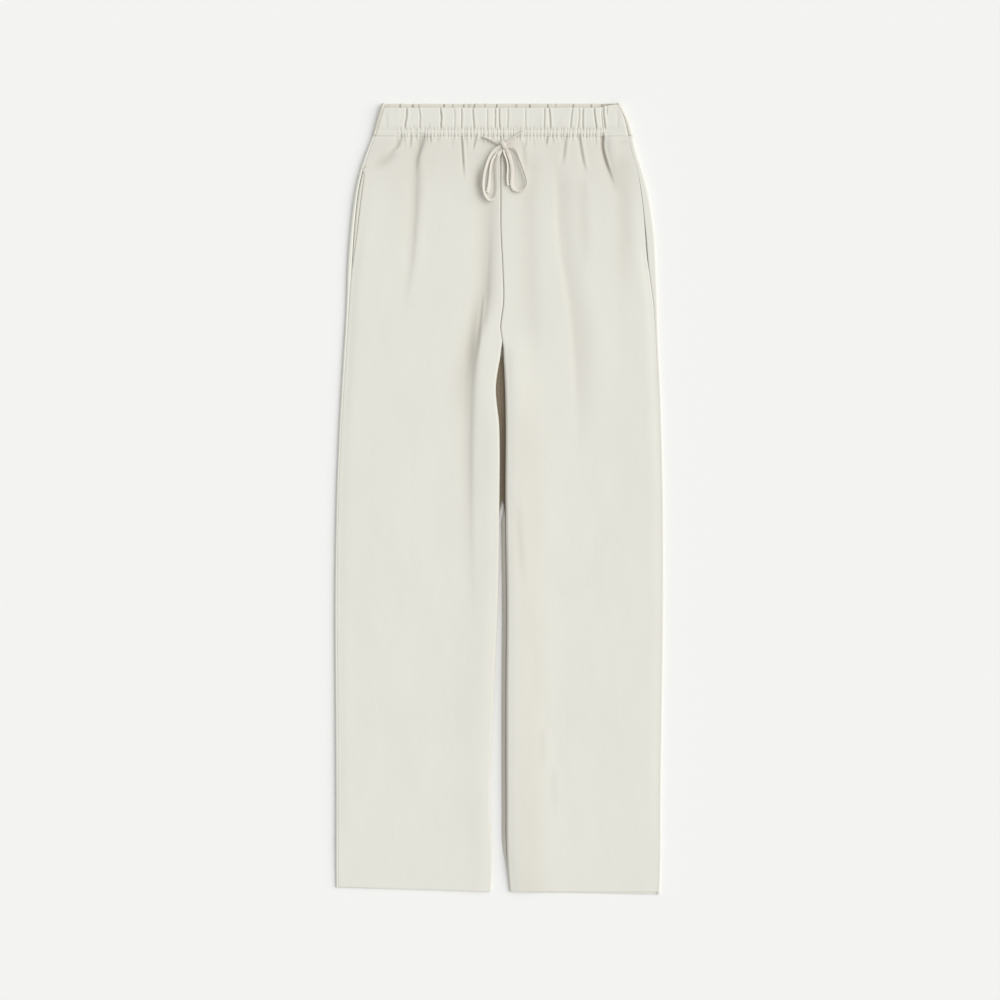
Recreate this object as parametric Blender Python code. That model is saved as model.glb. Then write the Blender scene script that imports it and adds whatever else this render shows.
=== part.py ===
"""Linen drawstring trousers, laid flat with the front up, as sewn cloth panels with a tied drawstring.

Frame: metres, +Z up, +Y towards the waist, +X towards the wearer's left leg. The origin lies on the
surface under the middle of the outline. Tables are in millimetres and are turned into metres by MM.
"""

import math
from collections import namedtuple

import bmesh
import bpy
from mathutils import Vector

MM = 0.001

# Cloth
CLOTH_WALL = 1.2
BAND_WALL = 2.4
SEAM_GAP = 0.4
FOLD_GAP = 1.2
LAYER_GAP = 0.35

# Waistband: the seam that joins it to the legs, and its front and back top edges
WAIST_SEAM_Y = 488.5
BAND_FRONT_TOP = 526.5
BAND_BACK_TOP = 533.0
BAND_CREASE_REACH = 4.0

# Legs: the fork opens over this height under the crotch
CROTCH_Y = 211.0
FORK_LENGTH = 24.0
HEM_REACH = 90.0

# Pockets: the opening in the side seam and the facing that shows in it
POCKET_TOP = 442.0
POCKET_FOOT = 308.0
POCKET_GAPE = 5.5
FACING_TUCK = 4.0

# Drawstring
CORD_DIAMETER = 3.2
CORD_SPACING = 6.4
KNOT_SPACING = 2.2

# Columns and rows of the panels
FRONT_FLAT_COLUMNS = 15
INNER_CURL_COLUMNS = 3
BACK_FLAT_COLUMNS = 4
SIDE_CURL_COLUMNS = 5
BAND_FRONT_COLUMNS = 56
BAND_BACK_COLUMNS = 12
LEG_ROWS = (-524, -480, -420, -350, -280, -210, -140, -70, 0, 60, 100, 130, 152, 170,
            184, 197, 211, 231, 252, 280, 308, 338, 366, 395, 420, 442, 462, 488.3)

LINEN = (0.72, 0.69, 0.61, 1.0)
LINEN_SHADE = (0.66, 0.63, 0.55, 1.0)
CORD_LINEN = (0.70, 0.66, 0.58, 1.0)

# The outline, a row for each height: the two side edges, the inner edges of the legs (one centre
# seam above the crotch), how far the side seams lie in from the sides, and the height of the cloth
Section = namedtuple("Section", "name y right_side right_inner left_inner left_side "
                                "right_seam left_seam loft")
SECTIONS = (
    Section("hem", -540.0, -220.2, -11.5, 15.4, 216.5, 3.6, 3.6, 5.0),
    Section("above_hem", -480.0, -220.8, -10.0, 12.4, 218.2, 3.4, 3.4, 5.0),
    Section("shin", -406.0, -220.8, -12.7, 10.0, 218.5, 3.2, 3.2, 5.2),
    Section("calf", -271.0, -221.4, -7.9, 9.8, 220.3, 3.6, 3.2, 5.2),
    Section("knee", -136.0, -222.0, -1.8, 10.5, 222.0, 3.2, 3.2, 5.3),
    Section("mid_thigh", 0.0, -220.0, 0.2, 8.8, 221.5, 3.2, 3.2, 5.4),
    Section("thigh", 96.0, -216.2, 0.0, 8.9, 219.4, 3.4, 3.4, 5.6),
    Section("fork", 150.0, -213.2, -4.6, 7.4, 217.6, 3.6, 3.6, 5.8),
    Section("crotch", 210.0, -209.6, 3.8, 4.2, 214.8, 3.8, 3.8, 5.9),
    Section("rise_curve", 231.0, -208.2, 1.3, 1.7, 214.2, 3.8, 4.2, 6.0),
    Section("seat", 268.0, -206.4, 5.4, 5.8, 213.0, 4.0, 6.0, 6.0),
    Section("pocket_foot", 314.0, -204.9, 4.2, 4.6, 211.4, 6.0, 10.6, 6.0),
    Section("hip", 360.0, -201.4, 1.9, 2.3, 208.8, 5.4, 12.0, 6.0),
    Section("high_hip", 409.0, -195.7, 1.7, 2.1, 201.6, 4.8, 10.0, 6.0),
    Section("pocket_top", 442.0, -188.4, 1.7, 2.1, 193.2, 4.4, 7.4, 6.1),
    Section("below_waist", 468.0, -179.5, 1.7, 2.1, 184.8, 4.0, 6.6, 6.2),
    Section("waist_seam", 488.5, -171.6, 1.7, 2.1, 180.2, 3.8, 6.4, 6.4),
    Section("band_middle", 512.0, -165.0, 1.7, 2.1, 173.0, 4.4, 5.2, 7.8),
    Section("band_top", 533.0, -159.0, 1.7, 2.1, 162.6, 4.6, 4.6, 8.6),
)

# Soft troughs of the fronts, each from its head to its foot
Fold = namedtuple("Fold", "name head_x head_y foot_x foot_y width depth")
FOLDS = (
    Fold("right_corner", -134.0, 487.0, -158.0, 446.0, 7.0, 1.0),
    Fold("right_hip_upper", -103.0, 489.0, -113.0, 420.0, 8.0, 1.6),
    Fold("right_hip_lower", -112.0, 430.0, -136.0, 234.0, 13.0, 1.0),
    Fold("right_waist_pleat", -50.0, 489.0, -46.0, 440.0, 7.0, 1.2),
    Fold("right_leg_upper", -17.0, 400.0, -34.0, 200.0, 12.0, 1.3),
    Fold("right_leg_middle", -33.0, 250.0, -39.6, 20.0, 12.0, 1.8),
    Fold("right_leg_lower", -39.6, 60.0, -35.0, -155.0, 11.0, 1.1),
    Fold("left_waist_inner", 90.0, 489.0, 82.0, 445.0, 7.0, 1.1),
    Fold("left_waist_pleat", 108.0, 489.0, 115.0, 450.0, 7.0, 1.4),
    Fold("left_corner", 139.5, 489.0, 157.0, 405.0, 8.0, 1.6),
    Fold("left_hip", 77.0, 450.0, 100.5, 300.0, 12.0, 1.1),
    Fold("left_leg_upper", 98.0, 320.0, 110.0, 127.0, 13.0, 1.3),
    Fold("left_leg_lower", 108.0, 150.0, 116.0, 0.0, 13.0, 0.9),
    Fold("left_inner_thigh", 33.0, 305.0, 44.0, 160.0, 11.0, 0.9),
    Fold("left_knee", 22.5, 0.0, 33.0, -126.0, 10.0, 0.8),
)

# Creases of the gathered band: where each crosses its top and its foot, and how deep it is
Crease = namedtuple("Crease", "top_x foot_x depth")
BAND_CREASES = (
    Crease(-125.0, -127.5, 1.3), Crease(-107.5, -105.6, 1.0), Crease(-96.0, -96.0, 0.6),
    Crease(-79.3, -77.3, 1.2), Crease(-61.0, -61.0, 0.7), Crease(-51.3, -51.3, 1.3),
    Crease(-36.2, -34.2, 1.3), Crease(-16.7, -16.7, 0.7), Crease(-5.0, -5.0, 1.3),
    Crease(10.9, 10.9, 0.8), Crease(20.3, 20.3, 0.7), Crease(46.6, 46.6, 0.8),
    Crease(60.6, 66.8, 1.3), Crease(97.8, 95.1, 0.9), Crease(112.2, 112.2, 1.2),
    Crease(127.4, 132.0, 1.2), Crease(139.6, 139.6, 1.4),
)

# Each leg panel: its side, whether it lies on top, and how low its hem hangs at the side and inside
Panel = namedtuple("Panel", "name side front hem_side hem_inner")
PANELS = (
    Panel("front_right", -1, True, -523.8, -529.6),
    Panel("front_left", 1, True, -530.6, -529.8),
    Panel("back_right", -1, False, -524.4, -530.0),
    Panel("back_left", 1, False, -533.8, -530.6),
)

# Routes of the drawstring, through points chosen by hand
RIGHT_STRING = ((-23.5, 487.0, 8.6), (-14.5, 483.2, 8.4), (-6.0, 478.6, 8.2), (2.0, 475.4, 8.2),
                (9.5, 474.6, 8.3), (17.0, 472.0, 8.6), (22.0, 466.0, 9.2), (26.0, 457.0, 9.8),
                (30.5, 445.5, 10.4), (34.6, 434.0, 10.4), (36.2, 425.0, 10.0), (33.4, 418.4, 9.4),
                (26.6, 414.8, 8.8), (19.6, 416.6, 8.4), (16.8, 423.5, 8.4), (17.4, 434.0, 8.6),
                (17.2, 445.0, 8.8), (15.2, 455.0, 9.0), (12.6, 463.0, 9.0))
LEFT_STRING = ((31.5, 494.8, 9.6), (25.0, 490.6, 10.0), (18.0, 484.8, 11.2), (11.0, 479.2, 12.0),
               (3.6, 474.6, 12.0), (-3.6, 470.4, 11.6), (-9.4, 464.6, 10.8), (-14.4, 455.6, 10.2),
               (-18.0, 444.4, 10.2), (-20.6, 431.8, 10.4), (-21.2, 419.0, 10.4),
               (-19.0, 408.6, 10.0), (-13.4, 402.4, 9.4), (-7.4, 404.6, 8.8), (-4.8, 413.0, 8.6),
               (-4.4, 426.0, 8.6), (-4.8, 439.0, 8.8), (-4.2, 451.0, 9.0), (-1.6, 461.4, 9.0))
RIGHT_END = ((-5.4, 461.6, 8.4), (-9.2, 455.0, 8.3), (-11.6, 446.0, 8.2), (-12.6, 436.0, 8.1),
             (-13.4, 426.0, 8.0), (-14.6, 417.5, 8.0), (-16.0, 411.8, 8.0))
LEFT_END = ((6.6, 465.8, 8.4), (9.2, 459.0, 8.3), (11.2, 451.0, 8.2), (11.6, 442.0, 8.1),
            (11.0, 433.5, 8.0), (11.4, 426.5, 8.0), (12.6, 421.6, 8.0))
KNOT_ROUTE = ((8.6, 469.4, 8.8), (8.4, 470.0, 12.4), (7.2, 472.6, 15.4), (5.5, 475.8, 16.0),
              (3.8, 479.0, 15.4), (2.6, 481.6, 12.4), (2.4, 482.2, 8.8))


def clear_scene():
    """Removes every object that is already in the file."""
    for obj in list(bpy.data.objects):
        bpy.data.objects.remove(obj, do_unlink=True)


def smooth_step(low, high, value):
    """0 below low, 1 above high, and an even S between them."""
    t = min(1.0, max(0.0, (value - low) / (high - low)))
    return t * t * (3.0 - 2.0 * t)


def blend(a, b, share):
    return a + (b - a) * share


def section(column, y):
    """A column of SECTIONS at height y, on a smooth curve through its rows."""
    last = len(SECTIONS) - 2
    k = max([i for i, row in enumerate(SECTIONS) if row.y <= y] or [0])
    k = min(k, last)
    around = [SECTIONS[min(max(i, 0), last + 1)] for i in range(k - 1, k + 3)]
    heights = [row.y for row in around]
    values = [getattr(row, column) for row in around]
    span = heights[2] - heights[1]
    slope_low = (values[2] - values[0]) / (heights[2] - heights[0]) * span
    slope_high = (values[3] - values[1]) / (heights[3] - heights[1]) * span
    t = (y - heights[1]) / span
    return ((2 * t**3 - 3 * t**2 + 1) * values[1] + (t**3 - 2 * t**2 + t) * slope_low
            + (3 * t**2 - 2 * t**3) * values[2] + (t**3 - t**2) * slope_high)


def side_edge(side, y):
    return section("left_side" if side > 0 else "right_side", y)


def seam_inset(side, y):
    """How far the front's edge lies in from the side, clear of the round of the side."""
    asked = section("left_seam" if side > 0 else "right_seam", y)
    return max(asked, section("loft", y) / 2 + 0.2 + SEAM_GAP)


def inner_edge(side, y):
    """The centre seam above the crotch, and the inner fold of a leg below it."""
    right = section("right_inner", y)
    if side < 0:
        return right
    return max(section("left_inner", y), right + SEAM_GAP)


def curled(y):
    """0 where the panels run flat to the centre seam, 1 where they curl round a leg's inner fold."""
    return 1.0 - smooth_step(CROTCH_Y - FORK_LENGTH, CROTCH_Y, y)


def pocket_gape(y):
    """How far the pocket's edge stands away from the side seam."""
    if not POCKET_FOOT < y < POCKET_TOP:
        return 0.0
    return POCKET_GAPE * math.sin(math.pi * (y - POCKET_FOOT) / (POCKET_TOP - POCKET_FOOT)) ** 0.7


def fold_depth(fold, x, y):
    """How far a fold pulls the cloth down at (x, y)."""
    along = Vector((fold.foot_x - fold.head_x, fold.foot_y - fold.head_y))
    to_point = Vector((x - fold.head_x, y - fold.head_y))
    share = to_point.dot(along) / along.length_squared
    clear = abs(along.x * to_point.y - along.y * to_point.x) / along.length
    ends = smooth_step(-0.02, 0.25, share) * (1.0 - smooth_step(0.6, 1.05, share))
    return fold.depth * ends * math.exp(-((clear / fold.width) ** 2))


def front_top(x, y):
    """Height of the fronts' upper face."""
    sunk = sum(fold_depth(fold, x, y) for fold in FOLDS)
    return section("loft", y) - min(sunk, 2.2)


def row_height(panel, row, share):
    """Height y of a row of a leg panel, share of the way from its side to its inner edge."""
    y = LEG_ROWS[row]
    hem = blend(panel.hem_side, panel.hem_inner, share)
    near_hem = 1.0 - smooth_step(LEG_ROWS[0], LEG_ROWS[0] + HEM_REACH, y)
    return y + (hem - LEG_ROWS[0]) * near_hem


def front_point(panel, column, row):
    """A point of a front: across its flat, then round the inner fold."""
    share = min(1.0, column / FRONT_FLAT_COLUMNS)
    y = row_height(panel, row, share)
    side = panel.side
    radius = section("loft", y) / 2
    start = side_edge(side, y) - side * (seam_inset(side, y) + pocket_gape(y))
    inner = inner_edge(side, y)
    turn = inner + side * radius
    if column <= FRONT_FLAT_COLUMNS:
        x = blend(start, turn, share)
        return Vector((x, y, front_top(x, y)))
    step = (column - FRONT_FLAT_COLUMNS) / INNER_CURL_COLUMNS
    angle = step * (math.pi / 2 - FOLD_GAP / 2 / radius)
    top = front_top(turn, y)
    flat = Vector((turn - side * radius * step, y, front_top(turn - side * radius * step, y)))
    round_ = Vector((turn - side * radius * math.sin(angle), y, top - radius + radius * math.cos(angle)))
    return flat.lerp(round_, curled(y))


def side_curl(side, y, share):
    """A point of the round side of a back, from under it (0) to its top (1)."""
    radius = section("loft", y) / 2
    angle = share * math.pi
    centre = side_edge(side, y) - side * radius
    return centre + side * radius * math.sin(angle), radius - radius * math.cos(angle)


def back_point(panel, column, row):
    """A point of a back: round the inner fold, across the surface, and up round the side."""
    flat_start = INNER_CURL_COLUMNS
    curl_start = flat_start + BACK_FLAT_COLUMNS
    wrap_start = curl_start + SIDE_CURL_COLUMNS
    share = min(1.0, max(0.0, (column - flat_start) / BACK_FLAT_COLUMNS))
    y = row_height(panel, row, 1.0 - share)
    side = panel.side
    radius = section("loft", y) / 2
    turn = inner_edge(side, y) + side * radius
    if column < flat_start:
        step = (flat_start - column) / INNER_CURL_COLUMNS
        angle = step * (math.pi / 2 - FOLD_GAP / 2 / radius)
        flat = Vector((turn - side * radius * step, y, 0.0))
        round_ = Vector((turn - side * radius * math.sin(angle), y, radius - radius * math.cos(angle)))
        return flat.lerp(round_, curled(y))
    if column <= curl_start:
        return Vector((blend(turn, side_edge(side, y) - side * radius, share), y, 0.0))
    if column <= wrap_start:
        x, z = side_curl(side, y, (column - curl_start) / SIDE_CURL_COLUMNS)
        return Vector((x, y, z))
    edge = side_edge(side, y) - side * (seam_inset(side, y) - SEAM_GAP)
    return Vector((edge, y, 2 * radius))


def band_front_point(column, row, rows):
    """A point of the gathered front of the waistband."""
    y = blend(WAIST_SEAM_Y + SEAM_GAP / 2, BAND_FRONT_TOP, row / rows)
    left = side_edge(1, y) - seam_inset(1, y)
    right = side_edge(-1, y) + seam_inset(-1, y)
    x = blend(right, left, column / BAND_FRONT_COLUMNS)
    sunk = 0.0
    for crease in BAND_CREASES:
        middle = blend(crease.foot_x, crease.top_x, row / rows)
        sunk += crease.depth * math.exp(-(((x - middle) / BAND_CREASE_REACH) ** 2))
    return Vector((x, y, section("loft", y) - min(sunk, 1.4)))


def band_back_point(column, row, rows):
    """A point of the back of the waistband, which wraps up round both sides."""
    y = blend(WAIST_SEAM_Y + SEAM_GAP / 2, BAND_BACK_TOP, row / rows)
    radius = section("loft", y) / 2
    first_flat = SIDE_CURL_COLUMNS + 1
    last_flat = first_flat + BAND_BACK_COLUMNS
    if first_flat <= column <= last_flat:
        share = (column - first_flat) / BAND_BACK_COLUMNS
        return Vector((blend(side_edge(1, y) - radius, side_edge(-1, y) + radius, share), y, 0.0))
    side = 1 if column < first_flat else -1
    beyond = first_flat - column if side > 0 else column - last_flat
    if beyond <= SIDE_CURL_COLUMNS:
        x, z = side_curl(side, y, beyond / SIDE_CURL_COLUMNS)
        return Vector((x, y, z))
    edge = side_edge(side, y) - side * (seam_inset(side, y) - SEAM_GAP)
    return Vector((edge, y, 2 * radius))


def facing_point(side, column, row, columns, rows):
    """A point of a pocket facing, which lies under the pocket's edge and shows beside it."""
    y = blend(POCKET_FOOT - 4.0, POCKET_TOP + 4.0, row / rows)
    seam = side_edge(side, y) - side * (seam_inset(side, y) + SEAM_GAP)
    reach = pocket_gape(y) + FACING_TUCK
    z = section("loft", y) - CLOTH_WALL - LAYER_GAP
    return Vector((seam - side * reach * column / columns, y, z))


def finish(name, colour, roughness):
    """A plain matt cloth."""
    material = bpy.data.materials.new(name)
    material.use_nodes = True
    shader = material.node_tree.nodes["Principled BSDF"]
    shader.inputs["Base Color"].default_value = colour
    shader.inputs["Roughness"].default_value = roughness
    shader.inputs["Metallic"].default_value = 0.0
    return material


def cloth_piece(name, columns, rows, place, wall, colour, reverse=False):
    """A wall of cloth: a grid laid through the points that place gives, thickened inwards."""
    shape = bmesh.new()
    bmesh.ops.create_grid(shape, x_segments=columns, y_segments=rows, size=0.5)
    for vertex in shape.verts:
        column = round((vertex.co.x + 0.5) * columns)
        row = round((vertex.co.y + 0.5) * rows)
        vertex.co = place(column, row) * MM
    if reverse:
        bmesh.ops.reverse_faces(shape, faces=shape.faces[:])
    mesh = bpy.data.meshes.new(name)
    shape.to_mesh(mesh)
    shape.free()
    piece = bpy.data.objects.new(name, mesh)
    bpy.context.scene.collection.objects.link(piece)
    thicken = piece.modifiers.new("wall", "SOLIDIFY")
    thicken.thickness = wall * MM
    thicken.offset = -1.0
    thicken.use_even_offset = True
    mesh.materials.append(finish(name + "_cloth", colour, 0.9))
    return piece


def route_points(route, spacing):
    """Points about spacing apart on the smooth curve through a route's own points."""
    points = [Vector(p) for p in route]
    before = points[0] * 2 - points[1]
    after = points[-1] * 2 - points[-2]
    padded = [before, *points, after]
    fine = []
    for a, b, c, d in zip(padded, padded[1:], padded[2:], padded[3:]):
        steps = 12
        for k in range(steps):
            t = k / steps
            fine.append(0.5 * (2 * b + (c - a) * t + (2 * a - 5 * b + 4 * c - d) * t**2
                               + (3 * b - 3 * c + d - a) * t**3))
    fine.append(points[-1])
    lengths = [0.0]
    for a, b in zip(fine, fine[1:]):
        lengths.append(lengths[-1] + (b - a).length)
    count = max(4, round(lengths[-1] / spacing))
    even = []
    at = 0
    for k in range(count + 1):
        target = lengths[-1] * k / count
        while at < len(fine) - 2 and lengths[at + 1] < target:
            at += 1
        share = (target - lengths[at]) / (lengths[at + 1] - lengths[at])
        even.append(fine[at].lerp(fine[at + 1], min(1.0, max(0.0, share))))
    return even


def cord_piece(name, route, spacing=CORD_SPACING):
    """A round cord with filled ends along a route."""
    curve = bpy.data.curves.new(name, "CURVE")
    curve.dimensions = "3D"
    curve.bevel_depth = CORD_DIAMETER / 2 * MM
    curve.bevel_resolution = 2
    curve.use_fill_caps = True
    points = route_points(route, spacing)
    spline = curve.splines.new("POLY")
    spline.points.add(len(points) - 1)
    for spot, point in zip(spline.points, points):
        spot.co = (*(point * MM), 1.0)
    curve.materials.append(finish(name + "_cloth", CORD_LINEN, 0.85))
    piece = bpy.data.objects.new(name, curve)
    bpy.context.scene.collection.objects.link(piece)
    return piece


def build_legs():
    """The two fronts and the two backs."""
    rows = len(LEG_ROWS) - 1
    for panel in PANELS:
        if panel.front:
            columns = FRONT_FLAT_COLUMNS + INNER_CURL_COLUMNS
            place = front_point
        else:
            columns = INNER_CURL_COLUMNS + BACK_FLAT_COLUMNS + SIDE_CURL_COLUMNS + 1
            place = back_point
        cloth_piece(panel.name, columns, rows, lambda c, r, panel=panel, place=place: place(panel, c, r),
                    CLOTH_WALL, LINEN, reverse=panel.side > 0)


def build_waistband():
    """The front and the back of the elastic waistband, joined at the sides."""
    rows = 5
    cloth_piece("waistband_front", BAND_FRONT_COLUMNS, rows,
                lambda c, r: band_front_point(c, r, rows), BAND_WALL, LINEN)
    columns = BAND_BACK_COLUMNS + 2 * (SIDE_CURL_COLUMNS + 1)
    cloth_piece("waistband_back", columns, rows,
                lambda c, r: band_back_point(c, r, rows), BAND_WALL, LINEN_SHADE)


def build_pockets():
    """The facing that shows in each pocket's opening."""
    columns = 2
    rows = 12
    for name, side in (("pocket_facing_right", -1), ("pocket_facing_left", 1)):
        cloth_piece(name, columns, rows, lambda c, r, side=side: facing_point(side, c, r, columns, rows),
                    CLOTH_WALL, LINEN_SHADE, reverse=side > 0)


def build_drawstring():
    """The two halves of the drawstring with their loops, the knot over them, and the free ends."""
    cord_piece("drawstring_right", RIGHT_STRING)
    cord_piece("drawstring_left", LEFT_STRING)
    cord_piece("drawstring_end_right", RIGHT_END)
    cord_piece("drawstring_end_left", LEFT_END)
    cord_piece("drawstring_knot", KNOT_ROUTE, KNOT_SPACING)


def main():
    """Builds the trousers."""
    clear_scene()
    build_legs()
    build_waistband()
    build_pockets()
    build_drawstring()


main()
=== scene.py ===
"""Linen drawstring trousers laid flat with the front up, on a pale floor under soft daylight.

Sizes are in millimetres and become metres through MM. +Y runs to the waist and +X to the wearer's
left leg. Each cut of cloth is a thin sheet laid over the form of its solid, with its folds
given one by one, and the drawstring is a flat tape along the routes of its solids.
"""

import logging
import math
from collections.abc import Callable
from dataclasses import dataclass, field
from enum import Enum

import bmesh
import bpy
import numpy as np
from mathutils import Matrix, Vector


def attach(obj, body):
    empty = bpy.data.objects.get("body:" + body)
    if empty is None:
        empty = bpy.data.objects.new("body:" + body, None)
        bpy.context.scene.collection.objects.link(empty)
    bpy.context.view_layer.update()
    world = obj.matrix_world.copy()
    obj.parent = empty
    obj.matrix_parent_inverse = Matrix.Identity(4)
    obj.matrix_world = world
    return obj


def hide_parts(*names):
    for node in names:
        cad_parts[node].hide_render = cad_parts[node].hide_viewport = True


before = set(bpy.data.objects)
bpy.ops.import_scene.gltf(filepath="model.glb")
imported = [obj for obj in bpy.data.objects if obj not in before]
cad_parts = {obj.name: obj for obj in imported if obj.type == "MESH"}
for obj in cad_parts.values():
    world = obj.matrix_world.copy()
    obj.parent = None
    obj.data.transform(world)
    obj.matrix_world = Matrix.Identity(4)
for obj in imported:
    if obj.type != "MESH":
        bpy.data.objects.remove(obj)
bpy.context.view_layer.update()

Array = np.ndarray
Place = Callable[[Array, Array], Array]
Rows = tuple[tuple[float, float], ...]
Colour = tuple[float, float, float]

log = logging.getLogger("trousers")

MM = 0.001
ROOT = "root"

# Cloth
WALL = 0.7
TURN_RADIUS = 0.8
SEAM_GAP = 0.14
SEAM_DIP = 0.42
SEAM_REACH = 0.9
FOLD_GAP = 0.4
LINING_WALL = 0.6

# Heights of the waistband's seam and of its two top edges
WAIST_SEAM_Y = 488.5
BAND_FRONT_TOP = 526.5
BAND_BACK_TOP = 533.0
BAND_WALL = 2.4

# The fork of the legs
CROTCH_Y = 211.0
FORK_LENGTH = 24.0
FORK_FOOT = 8.0

# Hems and hips, between which the rows of the legs' grids are spaced
HEM_Y = -524.0
HEM_REACH = 90.0
HEM_TURN = 22.0
HEM_FINE = 12.0
HIP_Y = 392.0

# Pockets
POCKET_TOP = 442.0
POCKET_FOOT = 308.0


class Side(Enum):
    """Which leg a piece belongs to, with its direction along X."""

    RIGHT = -1
    LEFT = 1


class Slot(Enum):
    """The material slots of the record."""

    LINEN = "linen"
    TIE = "tie"


# ---------------------------------------------------------------- curves and heights


def smooth_step(low: float, high: float, value: Array) -> Array:
    """An even S from 0 at low to 1 at high.

    Args:
        low: Where the S starts.
        high: Where it ends.
        value: Where it is read.

    Returns:
        The share at each value.
    """
    t = np.clip((np.asarray(value, float) - low) / (high - low), 0.0, 1.0)
    return t * t * (3.0 - 2.0 * t)


def between(low: float, full: float, fade: float, high: float, value: Array) -> Array:
    """A rise and a fall: 0 up to low, 1 from full to fade, and 0 again from high.

    Args:
        low: Where the rise starts.
        full: Where it ends.
        fade: Where the fall starts.
        high: Where it ends.
        value: Where it is read.

    Returns:
        The share at each value.
    """
    return smooth_step(low, full, value) * (1.0 - smooth_step(fade, high, value))


def bell(distance: Array, reach: Array | float) -> Array:
    """1 in the middle, fading to nothing at about twice its reach."""
    return np.exp(-((distance / reach) ** 2))


def through(heights: Array, values: Array, at: Array) -> Array:
    """Reads a smooth curve that runs through rows of heights and values.

    Args:
        heights: The rows' heights, rising.
        values: The value at each height.
        at: The heights to read at.

    Returns:
        The value at each height of at.
    """
    h = np.asarray(heights, float)
    v = np.asarray(values, float)
    slopes = np.empty_like(v)
    slopes[1:-1] = (v[2:] - v[:-2]) / (h[2:] - h[:-2])
    slopes[0] = (v[1] - v[0]) / (h[1] - h[0])
    slopes[-1] = (v[-1] - v[-2]) / (h[-1] - h[-2])
    at = np.asarray(at, float)
    k = np.clip(np.searchsorted(h, at, side="right") - 1, 0, len(h) - 2)
    span = h[k + 1] - h[k]
    t = np.clip((at - h[k]) / span, 0.0, 1.0)
    return ((2 * t**3 - 3 * t**2 + 1) * v[k] + (t**3 - 2 * t**2 + t) * slopes[k] * span
            + (3 * t**2 - 2 * t**3) * v[k + 1] + (t**3 - t**2) * slopes[k + 1] * span)


def along_rows(rows: Rows, y: Array) -> Array:
    """Reads a smooth curve given as rows of height and value."""
    return through([row[0] for row in rows], [row[1] for row in rows], y)


def billow(x: Array, y: Array, cell_x: float, cell_y: float, seed: int) -> Array:
    """Gentle uneven swells, as cloth has where it lies loose.

    Args:
        x: Places across, in millimetres.
        y: Places along, in millimetres.
        cell_x: Usual width of a swell.
        cell_y: Usual length of a swell.
        seed: Picks the pattern.

    Returns:
        Heights between about -1 and 1.
    """
    side = 64
    lattice = np.random.default_rng(seed).uniform(-1.0, 1.0, (side, side))
    u = np.asarray(x, float) / cell_x + 20.37
    v = np.asarray(y, float) / cell_y + 20.61
    i = np.floor(u).astype(int)
    j = np.floor(v).astype(int)
    s = smooth_step(0.0, 1.0, u - i)
    t = smooth_step(0.0, 1.0, v - j)
    i0, i1, j0, j1 = i % side, (i + 1) % side, j % side, (j + 1) % side
    low = lattice[i0, j0] * (1 - s) + lattice[i1, j0] * s
    high = lattice[i0, j1] * (1 - s) + lattice[i1, j1] * s
    return low * (1 - t) + high * t


@dataclass(frozen=True)
class Section:
    """One height of the outline: side edges, inner edges, seam insets and height of the cloth."""

    name: str
    y: float
    right_side: float
    right_inner: float
    left_inner: float
    left_side: float
    right_seam: float
    left_seam: float
    loft: float


SECTIONS = (
    Section("hem", -540.0, -220.2, -11.5, 15.4, 216.5, 3.6, 3.6, 3.0),
    Section("above_hem", -480.0, -220.8, -10.0, 9.9, 218.2, 3.4, 3.4, 4.4),
    Section("shin", -406.0, -220.8, -12.7, 9.2, 218.5, 3.2, 3.2, 5.2),
    Section("calf", -271.0, -221.4, -7.9, 9.0, 220.3, 3.6, 3.2, 5.2),
    Section("knee", -136.0, -222.0, -1.8, 9.7, 222.0, 3.2, 3.2, 5.3),
    Section("mid_thigh", 0.0, -220.0, 0.2, 8.1, 221.5, 3.2, 3.2, 5.4),
    Section("thigh", 96.0, -216.2, 0.0, 8.4, 219.4, 3.4, 3.4, 5.6),
    Section("fork", 150.0, -213.2, -4.6, 7.4, 217.6, 3.6, 3.6, 5.8),
    Section("crotch", 210.0, -209.6, 3.8, 4.2, 214.8, 3.8, 3.8, 5.9),
    Section("rise_curve", 231.0, -208.2, 1.3, 1.7, 214.2, 3.8, 4.2, 6.0),
    Section("seat", 268.0, -206.4, 5.4, 5.8, 213.0, 4.0, 6.0, 6.0),
    Section("pocket_foot", 314.0, -204.9, 4.2, 4.6, 211.4, 6.0, 10.6, 6.0),
    Section("hip", 360.0, -201.4, 1.9, 2.3, 208.8, 5.4, 12.0, 6.0),
    Section("high_hip", 409.0, -195.7, 1.7, 2.1, 201.6, 4.8, 10.0, 6.0),
    Section("pocket_top", 442.0, -188.4, 1.7, 2.1, 193.2, 4.4, 7.4, 6.1),
    Section("below_waist", 468.0, -179.5, 1.7, 2.1, 184.8, 4.0, 6.6, 6.2),
    Section("waist_seam", 488.5, -171.6, 1.7, 2.1, 180.2, 3.8, 6.4, 6.4),
    Section("band_middle", 512.0, -165.0, 1.7, 2.1, 173.0, 4.4, 5.2, 7.8),
    Section("band_top", 533.0, -159.0, 1.7, 2.1, 162.6, 4.6, 4.6, 8.6),
)


LEFT_RISE = ((-540.0, 2.4), (-480.0, 5.6), (-300.0, 7.8), (-60.0, 8.0), (60.0, 7.4), (140.0, 6.0),
             (175.0, 4.5), (232.0, 0.0), (250.0, 0.0))
RIGHT_RISE = ((-530.0, 1.4), (-300.0, 1.8), (-60.0, 2.8), (100.0, 4.2), (175.0, 3.6), (232.0, 0.0),
              (250.0, 0.0))


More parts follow.
